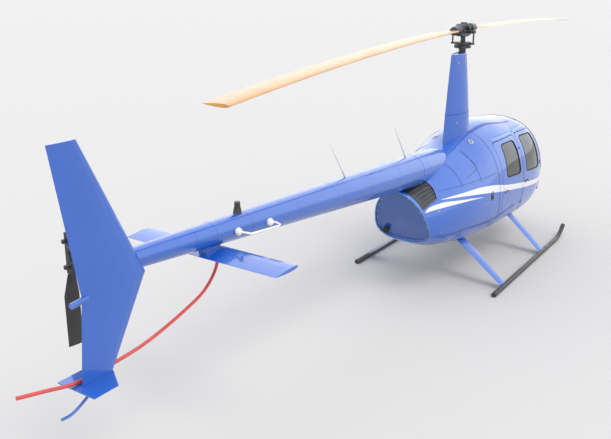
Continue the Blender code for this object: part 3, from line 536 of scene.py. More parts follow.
def ball(centre, radius, segments=24, rings=14, squash=(1, 1, 1)):
    bm = bmesh.new()
    bmesh.ops.create_uvsphere(bm, u_segments=segments, v_segments=rings, radius=radius)
    bmesh.ops.scale(bm, verts=bm.verts, vec=squash)
    bmesh.ops.translate(bm, verts=bm.verts, vec=centre)
    return from_bmesh(bm)


def from_bmesh(bm):
    bm.verts.index_update()
    verts = [tuple(v.co) for v in bm.verts]
    faces = [tuple(v.index for v in f.verts) for f in bm.faces]
    bm.free()
    return verts, faces


class Kit:
    """Shapes gathered into one piece, each with its own paint."""

    def __init__(self, *paints):
        self.paints = list(paints)
        self.verts, self.faces, self.skins = [], [], []

    def add(self, shape, paint=None, matrix=None):
        verts, faces = shape
        first = len(self.verts)
        self.verts += [tuple(matrix @ Vector(v)) for v in verts] if matrix else verts
        self.faces += [tuple(first + i for i in face) for face in faces]
        if paint is not None and paint not in self.paints:
            self.paints.append(paint)
        self.skins += [self.paints.index(paint) if paint is not None else 0] * len(faces)
        return self

    def done(self, name, body="airframe", slot=None, replaces=(), matrix=None, sharp=35):
        mesh = bpy.data.meshes.new(name)
        mesh.from_pydata(self.verts, [], self.faces)
        for paint in self.paints:
            mesh.materials.append(paint)
        mesh.polygons.foreach_set("material_index", self.skins)
        bm = bmesh.new()
        bm.from_mesh(mesh)
        bmesh.ops.recalc_face_normals(bm, faces=bm.faces)
        bm.to_mesh(mesh)
        bm.free()
        mesh.shade_smooth()
        mesh.set_sharp_from_angle(angle=math.radians(sharp))
        return placed(name, mesh, body, replaces, matrix)


def placed(name, mesh, body, replaces=(), matrix=None):
    obj = bpy.data.objects.new(name, mesh)
    bpy.context.scene.collection.objects.link(obj)
    obj.matrix_world = Matrix.Translation((MAST_X, 0, 0)) @ (matrix or Matrix.Identity(4))
    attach(obj, body)
    if replaces:
        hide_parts(*replaces)
    return obj


# The body's surface
SECTION_STEPS = 24


def section_table():
    rows = [BODY_SECTIONS[0], *BODY_SECTIONS, BODY_SECTIONS[-1]]
    table = [[between(*column, step / SECTION_STEPS) for column in zip(*four)]
             for four in zip(rows, rows[1:], rows[2:], rows[3:]) for step in range(SECTION_STEPS)]
    return np.array(table + [list(BODY_SECTIONS[-1])])


TABLE = section_table()
TABLE_T = np.arange(len(TABLE)) / SECTION_STEPS


def t_of(x):
    """Where a station lies along the sections, counted from the nose."""
    return np.interp(-np.asarray(x, float), -TABLE[:, 0], TABLE_T)


def section_at(t):
    return [np.interp(t, TABLE_T, TABLE[:, k]) for k in range(TABLE.shape[1])]


def skin(t, angle):
    """Points of the body's left side. The angle goes from -90 degrees at the belly to 90 at the roof."""
    x, belly, roof, waist, half, top_power, belly_power = section_at(np.asarray(t, float))
    across, up = np.clip(np.cos(angle), 0, 1), np.sin(angle)
    power = np.where(up >= 0, top_power, belly_power)
    height = np.where(up >= 0, roof - waist, waist - belly)
    y = half * across ** (2 / power)
    z = waist + height * np.sign(up) * np.abs(up) ** (2 / power)
    return np.stack([x + 0 * y, y, z], -1)


def skin_level(points):
    """Negative inside the body and positive outside it."""
    x, y, z = points[..., 0], np.abs(points[..., 1]), points[..., 2]
    _, belly, roof, waist, half, top_power, belly_power = section_at(t_of(x))
    up = z - waist
    power = np.where(up >= 0, top_power, belly_power)
    height = np.where(up >= 0, roof - waist, waist - belly)
    return (y / half) ** power + (np.abs(up) / height) ** power - 1


def skin_normal(points):
    """Outward directions at points of the left side."""
    step = 0.002
    slopes = []
    for axis in range(3):
        move = np.zeros(3)
        move[axis] = step
        slopes.append(skin_level(points + move) - skin_level(points - move))
    normal = np.stack(slopes, -1)
    middle = np.abs(points[..., 1]) < 1e-5
    normal[..., 1] = np.where(middle, 0, normal[..., 1])
    return normal / np.maximum(np.linalg.norm(normal, axis=-1, keepdims=True), 1e-9)


def angle_of(x, z):
    """The angle of the side's point at a station and a height."""
    _, belly, roof, waist, half, top_power, belly_power = section_at(t_of(x))
    up = np.asarray(z, float) - waist
    power = np.where(up >= 0, top_power, belly_power)
    height = np.where(up >= 0, roof - waist, waist - belly)
    return np.arcsin(np.clip(np.sign(up) * (np.abs(up) / height) ** (power / 2), -1, 1))


def top_angle(x, y):
    """The angle of the roof's point at a station and a distance from the centre line."""
    _, belly, roof, waist, half, top_power, belly_power = section_at(t_of(x))
    return np.arccos(np.clip((np.abs(y) / half) ** (top_power / 2), 0, 1))


def on_side(places, sign=1):
    """Points of one flank and their outward directions, from places in X and Z."""
    x, z = np.array(places, float).T
    return mirrored(skin(t_of(x), angle_of(x, z)), sign)


def on_top(places, sign=1):
    """Points of the roof and their outward directions, from places in X and Y."""
    x, y = np.array(places, float).T
    return mirrored(skin(t_of(x), top_angle(x, y)), sign)


def mirrored(points, sign):
    normals = skin_normal(points)
    flip = np.array([1, sign, 1])
    return points * flip, normals * flip


def resampled(places, gap, closed=False):
    """Places every gap along a line through the given ones, with the given ones kept."""
    places = [Vector(p) for p in places]
    if closed:
        places.append(places[0])
    made = []
    for a, b in zip(places, places[1:]):
        count = max(1, math.ceil((b - a).length / gap))
        made += [tuple(a.lerp(b, i / count)) for i in range(count)]
    return made + [tuple(places[-1])]


# Panels cut from the body's surface
T_SCALE = 0.33              # metres along the body for each section
ANGLE_SCALE = 0.62
GRID = 0.030
EDGE = 0.004                # width of the eased edge of a panel


def in_outline(x, z, outline):
    """Which of the places lie inside a closed outline."""
    inside = np.zeros(x.shape, bool)
    for (ax, az), (bx, bz) in zip(outline, list(outline[1:]) + [outline[0]]):
        crosses = (az > z) != (bz > z)
        with np.errstate(divide="ignore", invalid="ignore"):
            where = (bx - ax) * (z - az) / (bz - az) + ax
        inside ^= crosses & (x < where)
    return inside


def flat_line(places):
    """A line of places in X and Z as points of the surface's own flat map."""
    x, z = np.array(places, float).T
    return np.stack([t_of(x) * T_SCALE, angle_of(x, z) * ANGLE_SCALE], -1)


def side_line(outline):
    return flat_line(resampled(outline, GRID * 0.5, closed=True))


def top_line(y, start, end, steps=90):
    """The line at a fixed distance from the middle, over the roof between two stations."""
    x = np.linspace(start, end, steps)
    return np.stack([t_of(x) * T_SCALE, top_angle(x, y + 0 * x) * ANGLE_SCALE], -1)


def triangles(lines, keep, low, high):
    """The flat map's triangles whose middles are kept, with the lines as edges."""
    points = []
    edges = []
    for line in lines:
        first = len(points)
        points += [tuple(p) for p in line]
        edges += [(first + i, first + i + 1) for i in range(len(line) - 1)]
    marks = np.array(points) if points else np.zeros((0, 2))
    us = np.linspace(low[0], high[0], max(2, round((high[0] - low[0]) / GRID)) + 1)
    vs = np.linspace(low[1], high[1], max(2, round((high[1] - low[1]) / GRID)) + 1)
    grid = np.stack(np.meshgrid(us, vs, indexing="ij"), -1).reshape(-1, 2)
    rim = (grid[:, 0] == us[0]) | (grid[:, 0] == us[-1]) | (grid[:, 1] == vs[0]) | (grid[:, 1] == vs[-1])
    near = np.zeros(len(grid), bool)
    for start in range(0, len(marks), 400):
        gaps = np.linalg.norm(grid[:, None] - marks[None, start:start + 400], axis=-1)
        near |= gaps.min(1) < GRID * 0.3
    points += [tuple(p) for p in grid[rim | ~near]]
    found = geometry.delaunay_2d_cdt([Vector(p) for p in points], edges, [], 0, 1e-7)
    flat = np.array([tuple(v) for v in found[0]])
    faces = np.array([f for f in found[2] if len(f) == 3])
    middles = flat[faces].mean(1)
    return flat, faces[keep(skin(middles[:, 0] / T_SCALE, middles[:, 1] / ANGLE_SCALE))]


def panel(name, paint, lines, keep, stations, wall, angles=(-90, 90), inset=0.0, signs=(1,), body="airframe",
          replaces=(), eased=True):
    """A piece of the body's skin with a wall, on one side or on both as one piece."""
    low = (t_of(stations[1]) * T_SCALE, math.radians(angles[0]) * ANGLE_SCALE)
    high = (t_of(stations[0]) * T_SCALE, math.radians(angles[1]) * ANGLE_SCALE)
    flat, faces = triangles(lines, keep, low, high)
    used, faces = np.unique(faces, return_inverse=True)
    faces = faces.reshape(-1, 3)
    points = skin(flat[used, 0] / T_SCALE, flat[used, 1] / ANGLE_SCALE)
    normals = skin_normal(points)
    crossed = np.cross(points[faces[:, 1]] - points[faces[:, 0]], points[faces[:, 2]] - points[faces[:, 0]])
    turned_in = (crossed * normals[faces[:, 0]]).sum(1) < 0
    faces[turned_in] = faces[turned_in][:, ::-1]
    count = len(points)
    ends = np.concatenate([faces[:, [0, 1]], faces[:, [1, 2]], faces[:, [2, 0]]])
    keys = np.sort(ends, 1) @ np.array([count, 1])
    once = np.isin(keys, [key for key, times in zip(*np.unique(keys, return_counts=True)) if times == 1])
    rim = ends[once]
    if len(signs) == 2:
        rim = rim[~(np.abs(points[rim][:, :, 1]) < 1e-5).all(1)]
    outer, shown = points - normals * inset, normals.copy()
    if eased:
        # the rim is let down a little and its shading leans outwards, so that edges catch light
        lean = np.zeros_like(points)
        for a, b in rim:
            out = np.cross(points[b] - points[a], normals[a])
            out /= max(np.linalg.norm(out), 1e-9)
            lean[a] += out
            lean[b] += out
        on_rim = np.linalg.norm(lean, axis=1) > 1e-6
        lean[on_rim] /= np.linalg.norm(lean[on_rim], axis=1, keepdims=True)
        outer[on_rim] -= normals[on_rim] * EDGE * 0.25
        shown[on_rim] = normals[on_rim] + lean[on_rim] * 0.8
        shown /= np.linalg.norm(shown, axis=1, keepdims=True)
    inner = outer - normals * wall
    verts, all_faces, loop_normals = [], [], []
    for sign in signs:
        first = len(verts)
        flip = np.array([1, sign, 1])
        verts += (outer * flip).tolist() + (inner * flip).tolist()
        order = 1 if sign > 0 else -1
        for face in faces.tolist():
            all_faces.append(tuple(first + i for i in face[::order]))
            loop_normals += [shown[i] * flip for i in face[::order]]
            all_faces.append(tuple(first + count + i for i in face[::-order]))
            loop_normals += [-normals[i] * flip for i in face[::-order]]
        for a, b in rim.tolist():
            side = np.cross(outer[b] - outer[a], normals[a]) * flip
            side /= max(np.linalg.norm(side), 1e-9)
            quad = (first + b, first + a, first + count + a, first + count + b)
            all_faces.append(quad[::order])
            loop_normals += [side] * 4
    mesh = bpy.data.meshes.new(name)
    mesh.from_pydata(verts, [], all_faces)
    mesh.materials.append(paint)
    mesh.shade_smooth()
    mesh.normals_split_custom_set([tuple(n) for n in loop_normals])
    return placed(name, mesh, body, replaces)


ALL_SIDES = (1, -1)
DOORS = (("front", DOOR_FRONT, WINDOW_FRONT, 1.0), ("rear", DOOR_REAR, WINDOW_REAR, 0.0))


def rear_face_x(z):
    return COWL_BACK - COWL_BACK_LEAN * (z - COWL_BACK_Z)


def in_windshield(p):
    return in_outline(p[:, 0], p[:, 2], WINDSHIELD) & (np.abs(p[:, 1]) > POST_HALF)


def windshield_lines(gap=0.0):
    """The windshield's edges: up the side pillars, and along the centre strip."""
    corners = shrunk(WINDSHIELD, gap)
    sill, pillar, bend, top = corners[:4]
    nose_x = 2.392
    edge = rounded((top, bend, pillar, sill), CORNER_R)
    path = [Vector(top).lerp(Vector(bend), 0.35)] + [Vector(p) for p in edge[7:14]]
    path = [Vector(top), *path[1:], Vector(pillar)]
    lines = [flat_line(resampled([p for p in (corners[3], corners[2]) if p[1] < 1.795] or [corners[2]], GRID))] if False else []
    outline = resampled([(1.4275, 1.8), corners[2], corners[1], corners[0]], GRID * 0.5)
    lines.append(flat_line([p for p in outline if p[1] < 1.7785 + 0.02]))
    lines.append(flat_line(resampled([corners[0], (nose_x, corners[0][1])], GRID * 0.5)))
    lines.append(top_line(POST_HALF + gap, nose_x, 1.40))
    return lines


def cabin_pieces():
    outlines = [rounded(corners, CORNER_R) for _, corners, _, _ in DOORS]

    def is_cabin(p):
        kept = ~in_windshield(p)
        for outline in outlines:
            kept &= ~in_outline(p[:, 0], p[:, 2], outline)
        return kept

    lines = [side_line(outline) for outline in outlines] + windshield_lines()
    panel("cabin_skin", BODY_PAINT, lines, is_cabin, (CABIN_BACK, 2.40), CABIN_WALL, signs=ALL_SIDES,
          replaces=["cabin_shell"], eased=False)
    for side, sign in SIDES:
        panel("windshield_pane_" + side, ACRYLIC, windshield_lines(0.0006), in_windshield, (1.35, 2.395), 0.005,
              angles=(0, 90), inset=0.004, signs=(sign,), replaces=["windshield_" + side],
              eased=False)
        for where, door_corners, window_corners, _ in DOORS:
            door_pieces(where, side, sign, door_corners, window_corners)


def door_pieces(where, side, sign, door_corners, window_corners):
    name = where + "_" + side
    leaf = rounded(shrunk(door_corners, DOOR_GAP), CORNER_R)
    window = rounded(window_corners, CORNER_R)
    pane = rounded(shrunk(window_corners, 0.0006), CORNER_R)
    edges = [rounded(shrunk(door_corners, DOOR_GAP + EDGE), CORNER_R), rounded(shrunk(window_corners, -EDGE), CORNER_R)]
    stations = (min(x for x, z in door_corners) - 0.02, max(x for x, z in door_corners) + 0.02)
    panel("door_skin_" + name, BODY_PAINT, [side_line(outline) for outline in [leaf, window] + edges],
          lambda p: in_outline(p[:, 0], p[:, 2], leaf) & ~in_outline(p[:, 0], p[:, 2], window),
          stations, CABIN_WALL, angles=(-60, 75), signs=(sign,), body="door_" + name, replaces=["door_" + name])
    panel("door_pane_" + name, DARK_ACRYLIC, [side_line(pane)], lambda p: in_outline(p[:, 0], p[:, 2], pane),
          stations, 0.005, angles=(-20, 75), inset=0.006, signs=(sign,), body="door_" + name,
          replaces=["glass_" + name], eased=False)


def rear_edge(inset=0.0, ahead=0.0, steps=72):
    """The left half of the curve where the body meets the plane of the cowl's rear face, from the belly up."""
    angles = np.linspace(-math.pi / 2, math.pi / 2, steps)
    low, high = np.full(steps, t_of(-0.9)), np.full(steps, float(TABLE_T[-1]))
    for _ in range(30):
        middle = (low + high) / 2
        points = skin(middle, angles)
        short = points[:, 0] > rear_face_x(points[:, 2]) + ahead
        low, high = np.where(short, middle, low), np.where(short, high, middle)
    points = skin(high, angles)
    return high, angles, points - skin_normal(points) * inset


def cowl_pieces():
    t, angles, _ = rear_edge()
    rear = np.stack([t * T_SCALE, angles * ANGLE_SCALE], -1)
    split = flat_line([(x, COWL_SPLIT_Z) for x in np.linspace(CABIN_BACK, -1.66, 110)])
    lines = [rear, split, side_line(GRILLE)]

    def is_cowl(p):
        return (p[:, 0] > rear_face_x(p[:, 2])) & ~in_outline(p[:, 0], p[:, 2], GRILLE)

    panel("tank_cowl_skin", BODY_PAINT, lines, lambda p: is_cowl(p) & (p[:, 2] > COWL_SPLIT_Z),
          (-1.69, CABIN_BACK), COWL_WALL, angles=(0, 90), signs=ALL_SIDES, replaces=["tank_cowl"], eased=False)
    panel("engine_cowl_skin", BODY_PAINT, lines, lambda p: is_cowl(p) & (p[:, 2] < COWL_SPLIT_Z),
          (-1.69, CABIN_BACK), COWL_WALL, signs=ALL_SIDES, replaces=["engine_cowl"], eased=False)


cabin_pieces()
cowl_pieces()


# Strips, seams and rivets that lie on a surface
def strip(points, normals, width, thick=0.0015, closed=False):
    """A flat strip with sloping edges, laid along points of a surface."""
    points, normals = np.array(points, float), np.array(normals, float)
    if closed:
        points, normals = [np.concatenate([a[-2:-1], a, a[1:2]]) for a in (points, normals)]
    across = np.cross(normals, np.gradient(points, axis=0))
    across /= np.maximum(np.linalg.norm(across, axis=1, keepdims=True), 1e-9)
    if closed:
        points, normals, across = points[1:-1], normals[1:-1], across[1:-1]
    half = across * width / 2
    slope = across * min(width * 0.2, thick)
    foot, top = points - normals * 0.003, points + normals * thick
    rings = list(zip(foot - half, top - half + slope, top + half - slope, foot + half))
    return loft(rings, caps=not closed)


def spaced(points, normals, gap):
    """Points every gap along a line on a surface, with their normals."""
    points, normals = np.array(points, float), np.array(normals, float)
    steps = np.linalg.norm(np.diff(points, axis=0), axis=1)
    along = np.concatenate([[0], np.cumsum(steps)])
    count = max(1, round(along[-1] / gap))
    stops = np.linspace(0, along[-1], count + 1)
    return [np.stack([np.interp(stops, along, values[:, k]) for k in range(3)], -1) for values in (points, normals)]


DOME = [(0.0, 1.0), (0.55, 0.86), (0.95, 0.42)]      # height and width of a rivet's rings, as shares


def rivets(kit, points, normals, gap, radius=0.0045, height=0.0016, paint=None):
    """A row of low domed heads along a line on a surface."""
    for point, normal in zip(*spaced(points, normals, gap)):
        way = Vector(normal).normalized()
        places = [Vector(point) + way * height * up for up, _ in DOME]
        kit.add(tube_of(places, way, [radius * wide for _, wide in DOME], 8), paint)


def screw(kit, point, normal, radius=0.010, paint=None, slot_paint=None):
    """A countersunk washer with a small dark recess in its middle."""
    way = Vector(normal).normalized()
    kit.add(turned(((-0.002, radius), (0.0012, radius), (0.0022, radius * 0.82), (0.0022, radius * 0.5),
                    (0.0008, radius * 0.42), (0.0008, 0.0)), point, Vector(point) + way, 16), paint)
    kit.add(turned(((0.0, radius * 0.40), (0.0014, radius * 0.34), (0.0016, 0.0)), point, Vector(point) + way, 6),
            slot_paint or SEAM)


def hex_bolt(kit, point, way, size, height, paint=None):
    """A hexagon head on a washer."""
    way = Vector(way).normalized()
    kit.add(turned(((0, size * 1.25), (height * 0.2, size * 1.25), (height * 0.25, size * 1.1)), point,
                   Vector(point) + way, 20), paint)
    start = Vector(point) + way * height * 0.2
    kit.add(turned(((0, size), (height * 0.65, size), (height * 0.8, size * 0.82)), start, start + way, 6), paint)


def side_line_points(places, sign, gap=0.02, closed=False):
    return on_side(resampled(places, gap, closed), sign)


def over_roof(x, reach, steps=40):
    """A line across the roof at a station, out to a height on both flanks: points and directions, right to left."""
    start = float(angle_of(x, reach))
    angles = np.linspace(start, math.pi / 2, steps)
    half = skin(t_of(x) + 0 * angles, angles)
    right, left = mirrored(half, -1), mirrored(half[:-1][::-1], 1)
    return np.concatenate([right[0], left[0]]), np.concatenate([right[1], left[1]])


def under_belly(x, steps=40, top=0.0):
    """A line round the belly at a station, up to an angle on both flanks."""
    angles = np.linspace(top, -math.pi / 2, steps)
    half = skin(t_of(x) + 0 * angles, angles)
    right, left = mirrored(half, -1), mirrored(half[:-1][::-1], 1)
    return np.concatenate([right[0], left[0]]), np.concatenate([right[1], left[1]])


SEAM_WIDTH = 0.0065
RIVET_GAP = 0.042
# Seams on both flanks, in X and Z
FLANK_SEAMS = (
    ((0.036, COWL_SPLIT_Z), (-1.18, COWL_SPLIT_Z)),
    ((0.040, 0.520), (0.040, 1.820)),
    ((-0.430, 1.640), (-0.389, 1.539), (-0.370, 1.497), (-0.385, 1.462), (-0.440, 1.436), (-0.640, 1.392)),
    ((-0.860, 0.560), (-0.860, 0.800)),
    ((1.760, 0.590), (1.760, 0.830)),
)
# Rivet rows on both flanks, in X and Z
FLANK_RIVETS = (
    ((0.010, 1.352), (-1.150, 1.352)),
    ((0.010, 1.308), (-1.150, 1.308)),
    ((0.066, 0.560), (0.066, 1.760)),
    ((0.014, 0.560), (0.014, 1.760)),
    ((-0.360, 1.610), (-0.352, 1.560), (-0.334, 1.500), (-0.350, 1.440), (-0.420, 1.408), (-0.640, 1.366)),
    ((0.190, 1.690), (0.880, 1.700)),
    ((0.060, 0.600), (0.180, 0.560), (0.880, 0.560), (1.720, 0.590)),
)
ROOF_SEAMS = ((-0.400, 1.300), (-0.790, 1.320))


def body_trim():
    seams, heads = Kit(SEAM), Kit(RIVET)
    for side, sign in SIDES:
        for places in FLANK_SEAMS:
            seams.add(strip(*side_line_points(places, sign), SEAM_WIDTH))
        for places in FLANK_RIVETS:
            rivets(heads, *side_line_points(places, sign), RIVET_GAP)
        for x, low in ROOF_SEAMS:
            points = [(x, z) for z in np.linspace(low, 1.66 if x > -0.5 else 1.56, 30)]
            seams.add(strip(*on_side(points, sign), SEAM_WIDTH))
            for shift in (-0.022, 0.022):
                rivets(heads, *on_side([(x + shift, z) for _, z in points], sign), RIVET_GAP)
    for x in (-0.86, 1.76):
        seams.add(strip(*under_belly(x, top=-0.9), SEAM_WIDTH))
    seams.done("body_seams", slot="body_blue")
    heads.done("body_rivets", slot="body_blue")


def door_trim():
    """Seals, hinges, handles and the gutter strip of the four doors."""
    for side, sign in SIDES:
        for where, door_corners, window_corners, _ in DOORS:
            name = where + "_" + side
            kit = Kit(RUBBER)
            outline = resampled(rounded(shrunk(window_corners, -0.004), CORNER_R), 0.012, closed=True)
            kit.add(strip(*on_side(outline, sign), 0.016, 0.0025, closed=True))
            kit.done("window_seal_" + name, "door_" + name, "black_plastic")
            heads = Kit(RIVET)
            border = resampled(rounded(shrunk(door_corners, 0.026), CORNER_R), 0.012, closed=True)
            rivets(heads, *on_side(border, sign), 0.060, 0.0038)
            heads.done("door_rivets_" + name, "door_" + name, "body_blue")
            hardware(name, sign, where)
    gutters = Kit(PALE_HIGHLIGHT_PAINT)
    heads = Kit(SEAM)
    for side, sign in SIDES:
        for low, high, z in ((0.190, 0.790, 1.688), (0.900, 1.400, 1.690)):
            places = [(x, z) for x in np.linspace(low, high, 30)]
            gutters.add(strip(*on_side(places, sign), 0.034, 0.005))
            for shift in (-0.024, 0.024):
                rivets(heads, *on_side([(x, z + shift) for x, z in places], sign), 0.034, 0.0045)
    gutters.done("door_gutters", slot="body_blue")
    heads.done("gutter_rivets", slot="body_blue")


HANDLE = {"front": (0.985, 1.015), "rear": (0.262, 1.030)}       # the handle's place in X and Z
HINGE_SPOTS = {"front": ((1.688, 1.130), (1.722, 0.740)), "rear": ((0.838, 1.480), (0.838, 0.760))}


def hardware(name, sign, where):
    kit = Kit(BLACK, BRIGHT, RUBBER)
    x, z = HANDLE[where]
    (point,), (normal,) = on_side([(x, z)], sign)
    out = Vector(normal)
    ahead = Vector((1, 0, 0)) - out * out.x
    ahead.normalize()
    up = out.cross(ahead) * sign
    frame_of = Matrix((ahead, up, out)).transposed().to_4x4()
    frame_of.translation = Vector(point)
    cup = rounded(((-0.052, -0.016), (0.052, -0.016), (0.052, 0.016), (-0.052, 0.016)), 0.012)
    kit.add(slab(cup, "Z", -0.004, 0.0022, 0.001), RUBBER, frame_of)
    lever = rounded(((-0.046, -0.009), (0.036, -0.007), (0.036, 0.007), (-0.046, 0.009)), 0.006)
    kit.add(slab(lever, "Z", 0.002, 0.010, 0.0025), BRIGHT, frame_of)
    kit.add(turned(((0, 0.012), (0.010, 0.012), (0.014, 0.009), (0.014, 0.0)), (0.040, 0, 0), (0.040, 0, 1), 20),
            BLACK, frame_of)
    lock = Vector((-0.070, -0.048, 0))
    kit.add(turned(((0, 0.011), (0.003, 0.011), (0.0042, 0.009), (0.0042, 0.0)), lock, lock + Vector((0, 0, 1)), 20),
            BRIGHT, frame_of)
    kit.done("door_handle_" + name, "door_" + name, "dark_steel")
    hinges = Kit(PLAIN_PAINT, BRIGHT)
    for x, z in HINGE_SPOTS[where]:
        (point,), (normal,) = on_side([(x, z)], sign)
        out = Vector(normal)
        leaf = [(x - 0.052, z - 0.020), (x - 0.004, z - 0.026), (x - 0.004, z + 0.026), (x - 0.052, z + 0.020)]
        places = [(x - 0.050 + 0.046 * i / 6, z) for i in range(7)]
        hinges.add(strip(*on_side(places, sign), 0.040, 0.0035))
        base = Vector(point) + out * 0.004
        hinges.add(bar(base - Vector((0, 0, 0.027)), base + Vector((0, 0, 0.027)), 0.0065, 14))
        for dx in (-0.038, -0.018):
            for dz in (-0.012, 0.012):
                (spot,), (way,) = on_side([(x + dx, z + dz)], sign)
                screw(hinges, Vector(spot) + Vector(way) * 0.0030, way, 0.0050, BRIGHT)
    hinges.done("door_hinges_" + name, "door_" + name, "body_blue")


def windshield_trim():
    kit = Kit(RUBBER)
    width = 0.030
    for side, sign in SIDES:
        corners = shrunk(WINDSHIELD, 0.004)
        pillar = rounded(corners[:3] + ((1.4275, 1.86), (2.6, 1.86), (2.6, 0.985)), CORNER_R)
        path = [p for p in resampled(((1.432, 1.780), corners[2], corners[1], corners[0]), 0.02) if p[1] < 1.776]
        edge = on_side(path, sign)
        kit.add(strip(*edge, width, 0.003))
        sill = on_side([(x, corners[0][1]) for x in np.linspace(corners[0][0], 2.385, 40)], sign)
        kit.add(strip(*sill, width * 0.8, 0.003))
        centre = on_top([(x, POST_HALF + 0.006) for x in np.linspace(1.42, 2.388, 60)], sign)
        kit.add(strip(*centre, width * 0.5, 0.003))
    header = [(1.425, y) for y in np.linspace(-0.28, 0.28, 40)]
    x, y = np.array(header).T
    points = skin(t_of(x), top_angle(x, y))
    normals = skin_normal(points)
    flip = np.stack([np.ones_like(y), np.sign(y) + (y == 0), np.ones_like(y)], -1)
    kit.add(strip(points * flip, normals * flip, width, 0.003))
    kit.done("windshield_seals", slot="black_plastic")
    heads = Kit(RIVET)
    for side, sign in SIDES:
        places = [(1.392, 1.765), (1.500, 1.650), (1.790, 1.000)]
        rivets(heads, *side_line_points(places, sign), 0.050, 0.004)
    heads.done("windshield_rivets", slot="body_blue")


# Fuel caps on the shoulders: x, y and which side
FUEL_CAPS = ((-0.190, 0.214, 1), (-0.148, 0.261, -1))


def fuel_caps():
    kit = Kit(PLAIN_PAINT, BRIGHT, BLACK)
    for x, y, sign in FUEL_CAPS:
        (point,), (normal,) = on_top([(x, y)], sign)
        way = Vector(normal)
        point = Vector(point) - way * 0.004
        kit.add(turned(((0, 0.046), (0.0055, 0.046), (0.0085, 0.043), (0.0085, 0.038), (0.005, 0.037)), point,
                       point + way, 40), PALE_HIGHLIGHT_PAINT)
        kit.add(turned(((0.002, 0.0365), (0.0085, 0.0365), (0.0115, 0.033), (0.0115, 0.020), (0.0095, 0.018),
                        (0.0095, 0.0)), point, point + way, 40), BRIGHT)
        side = way.orthogonal().normalized()
        lever = Matrix((side, way.cross(side), way)).transposed().to_4x4()
        lever.translation = point + way * 0.0095
        kit.add(slab(rounded(((-0.022, -0.005), (0.022, -0.005), (0.022, 0.005), (-0.022, 0.005)), 0.004), "Z", 0,
                     0.005, 0.0015), BLACK, lever)
        for i in range(8):
            angle = math.tau * i / 8
            spot = point + (side * math.cos(angle) + way.cross(side) * math.sin(angle)) * 0.0415 + way * 0.0078
            rivets(kit, [spot, spot + side * 1e-4], [way, way], 1, 0.0028, 0.001, BRIGHT)
    kit.done("fuel_caps", slot="body_blue")


def cowl_latches():
    """The black scoop and the small fasteners on each side of the engine cowl."""
    kit = Kit(BLACK, BRIGHT)
    for side, sign in SIDES:
        low, high = 1.037, 1.123
        points, normals = on_side([(-0.19, z) for z in np.linspace(low, high, 9)], sign)
        rings = []
        for i, (point, normal) in enumerate(zip(points, normals)):
            share = i / 8
            rise = 0.020 * math.sin(math.pi * min(1, share * 1.15 + 0.08)) + 0.002
            half = 0.026 * (1 - 0.35 * share)
            ring = []
            for k in range(9):
                angle = math.pi * k / 8
                ring.append(Vector(point) + Vector((math.cos(angle) * half, 0, 0))
                            + Vector(normal) * (math.sin(angle) * rise - 0.003))
            rings.append(ring)
        kit.add(loft(rings), BLACK)
        frame_line = [(-0.222, low - 0.008), (-0.158, low - 0.008), (-0.162, high + 0.006), (-0.218, high + 0.006)]
        kit.add(strip(*on_side(resampled(frame_line, 0.01, closed=True), sign), 0.008, 0.003, closed=True), BLACK)
        for x in (-0.256, -0.318, -0.380, -0.443):
            (point,), (normal,) = on_side([(x, 1.010)], sign)
            screw(kit, point, normal, 0.0085, BRIGHT)
        for x, z in ((-0.62, 0.640), (-0.98, 0.700), (-1.26, 0.860), (-0.28, 0.600), (-1.30, 1.120)):
            (point,), (normal,) = on_side([(x, z)], sign)
            screw(kit, point, normal, 0.0105, BRIGHT)
    kit.done("cowl_fasteners", slot="dark_steel")


# The flat rear panel of the engine cowl, its rolled rim and the exhaust
EXHAUST_Y, EXHAUST_Z, EXHAUST_R, EXHAUST_END_X = 0.235, 0.805, 0.032, -1.430
LEAN = Vector((-1, 0, -COWL_BACK_LEAN)).normalized()            # the way that the rear panel faces
UP_LEAN = Vector((-COWL_BACK_LEAN, 0, 1)).normalized()
PANEL_MIDDLE_Z = 1.02


def on_rear(y, up, out=0.0):
    """A point of the rear panel's plane, by its distance from the middle, its height along it, and outwards."""
    base = Vector((rear_face_x(PANEL_MIDDLE_Z), 0, PANEL_MIDDLE_Z))
    return base + Vector((0, y, 0)) + UP_LEAN * up + LEAN * out


def rear_outline(inset, ahead=0.0):
    """The closed edge of the body at its rear face, moved in along the skin."""
    _, _, points = rear_edge(inset, ahead, 60)
    left = [Vector(p) for p in points]
    return left + [Vector((p.x, -p.y, p.z)) for p in reversed(left[1:-1])]


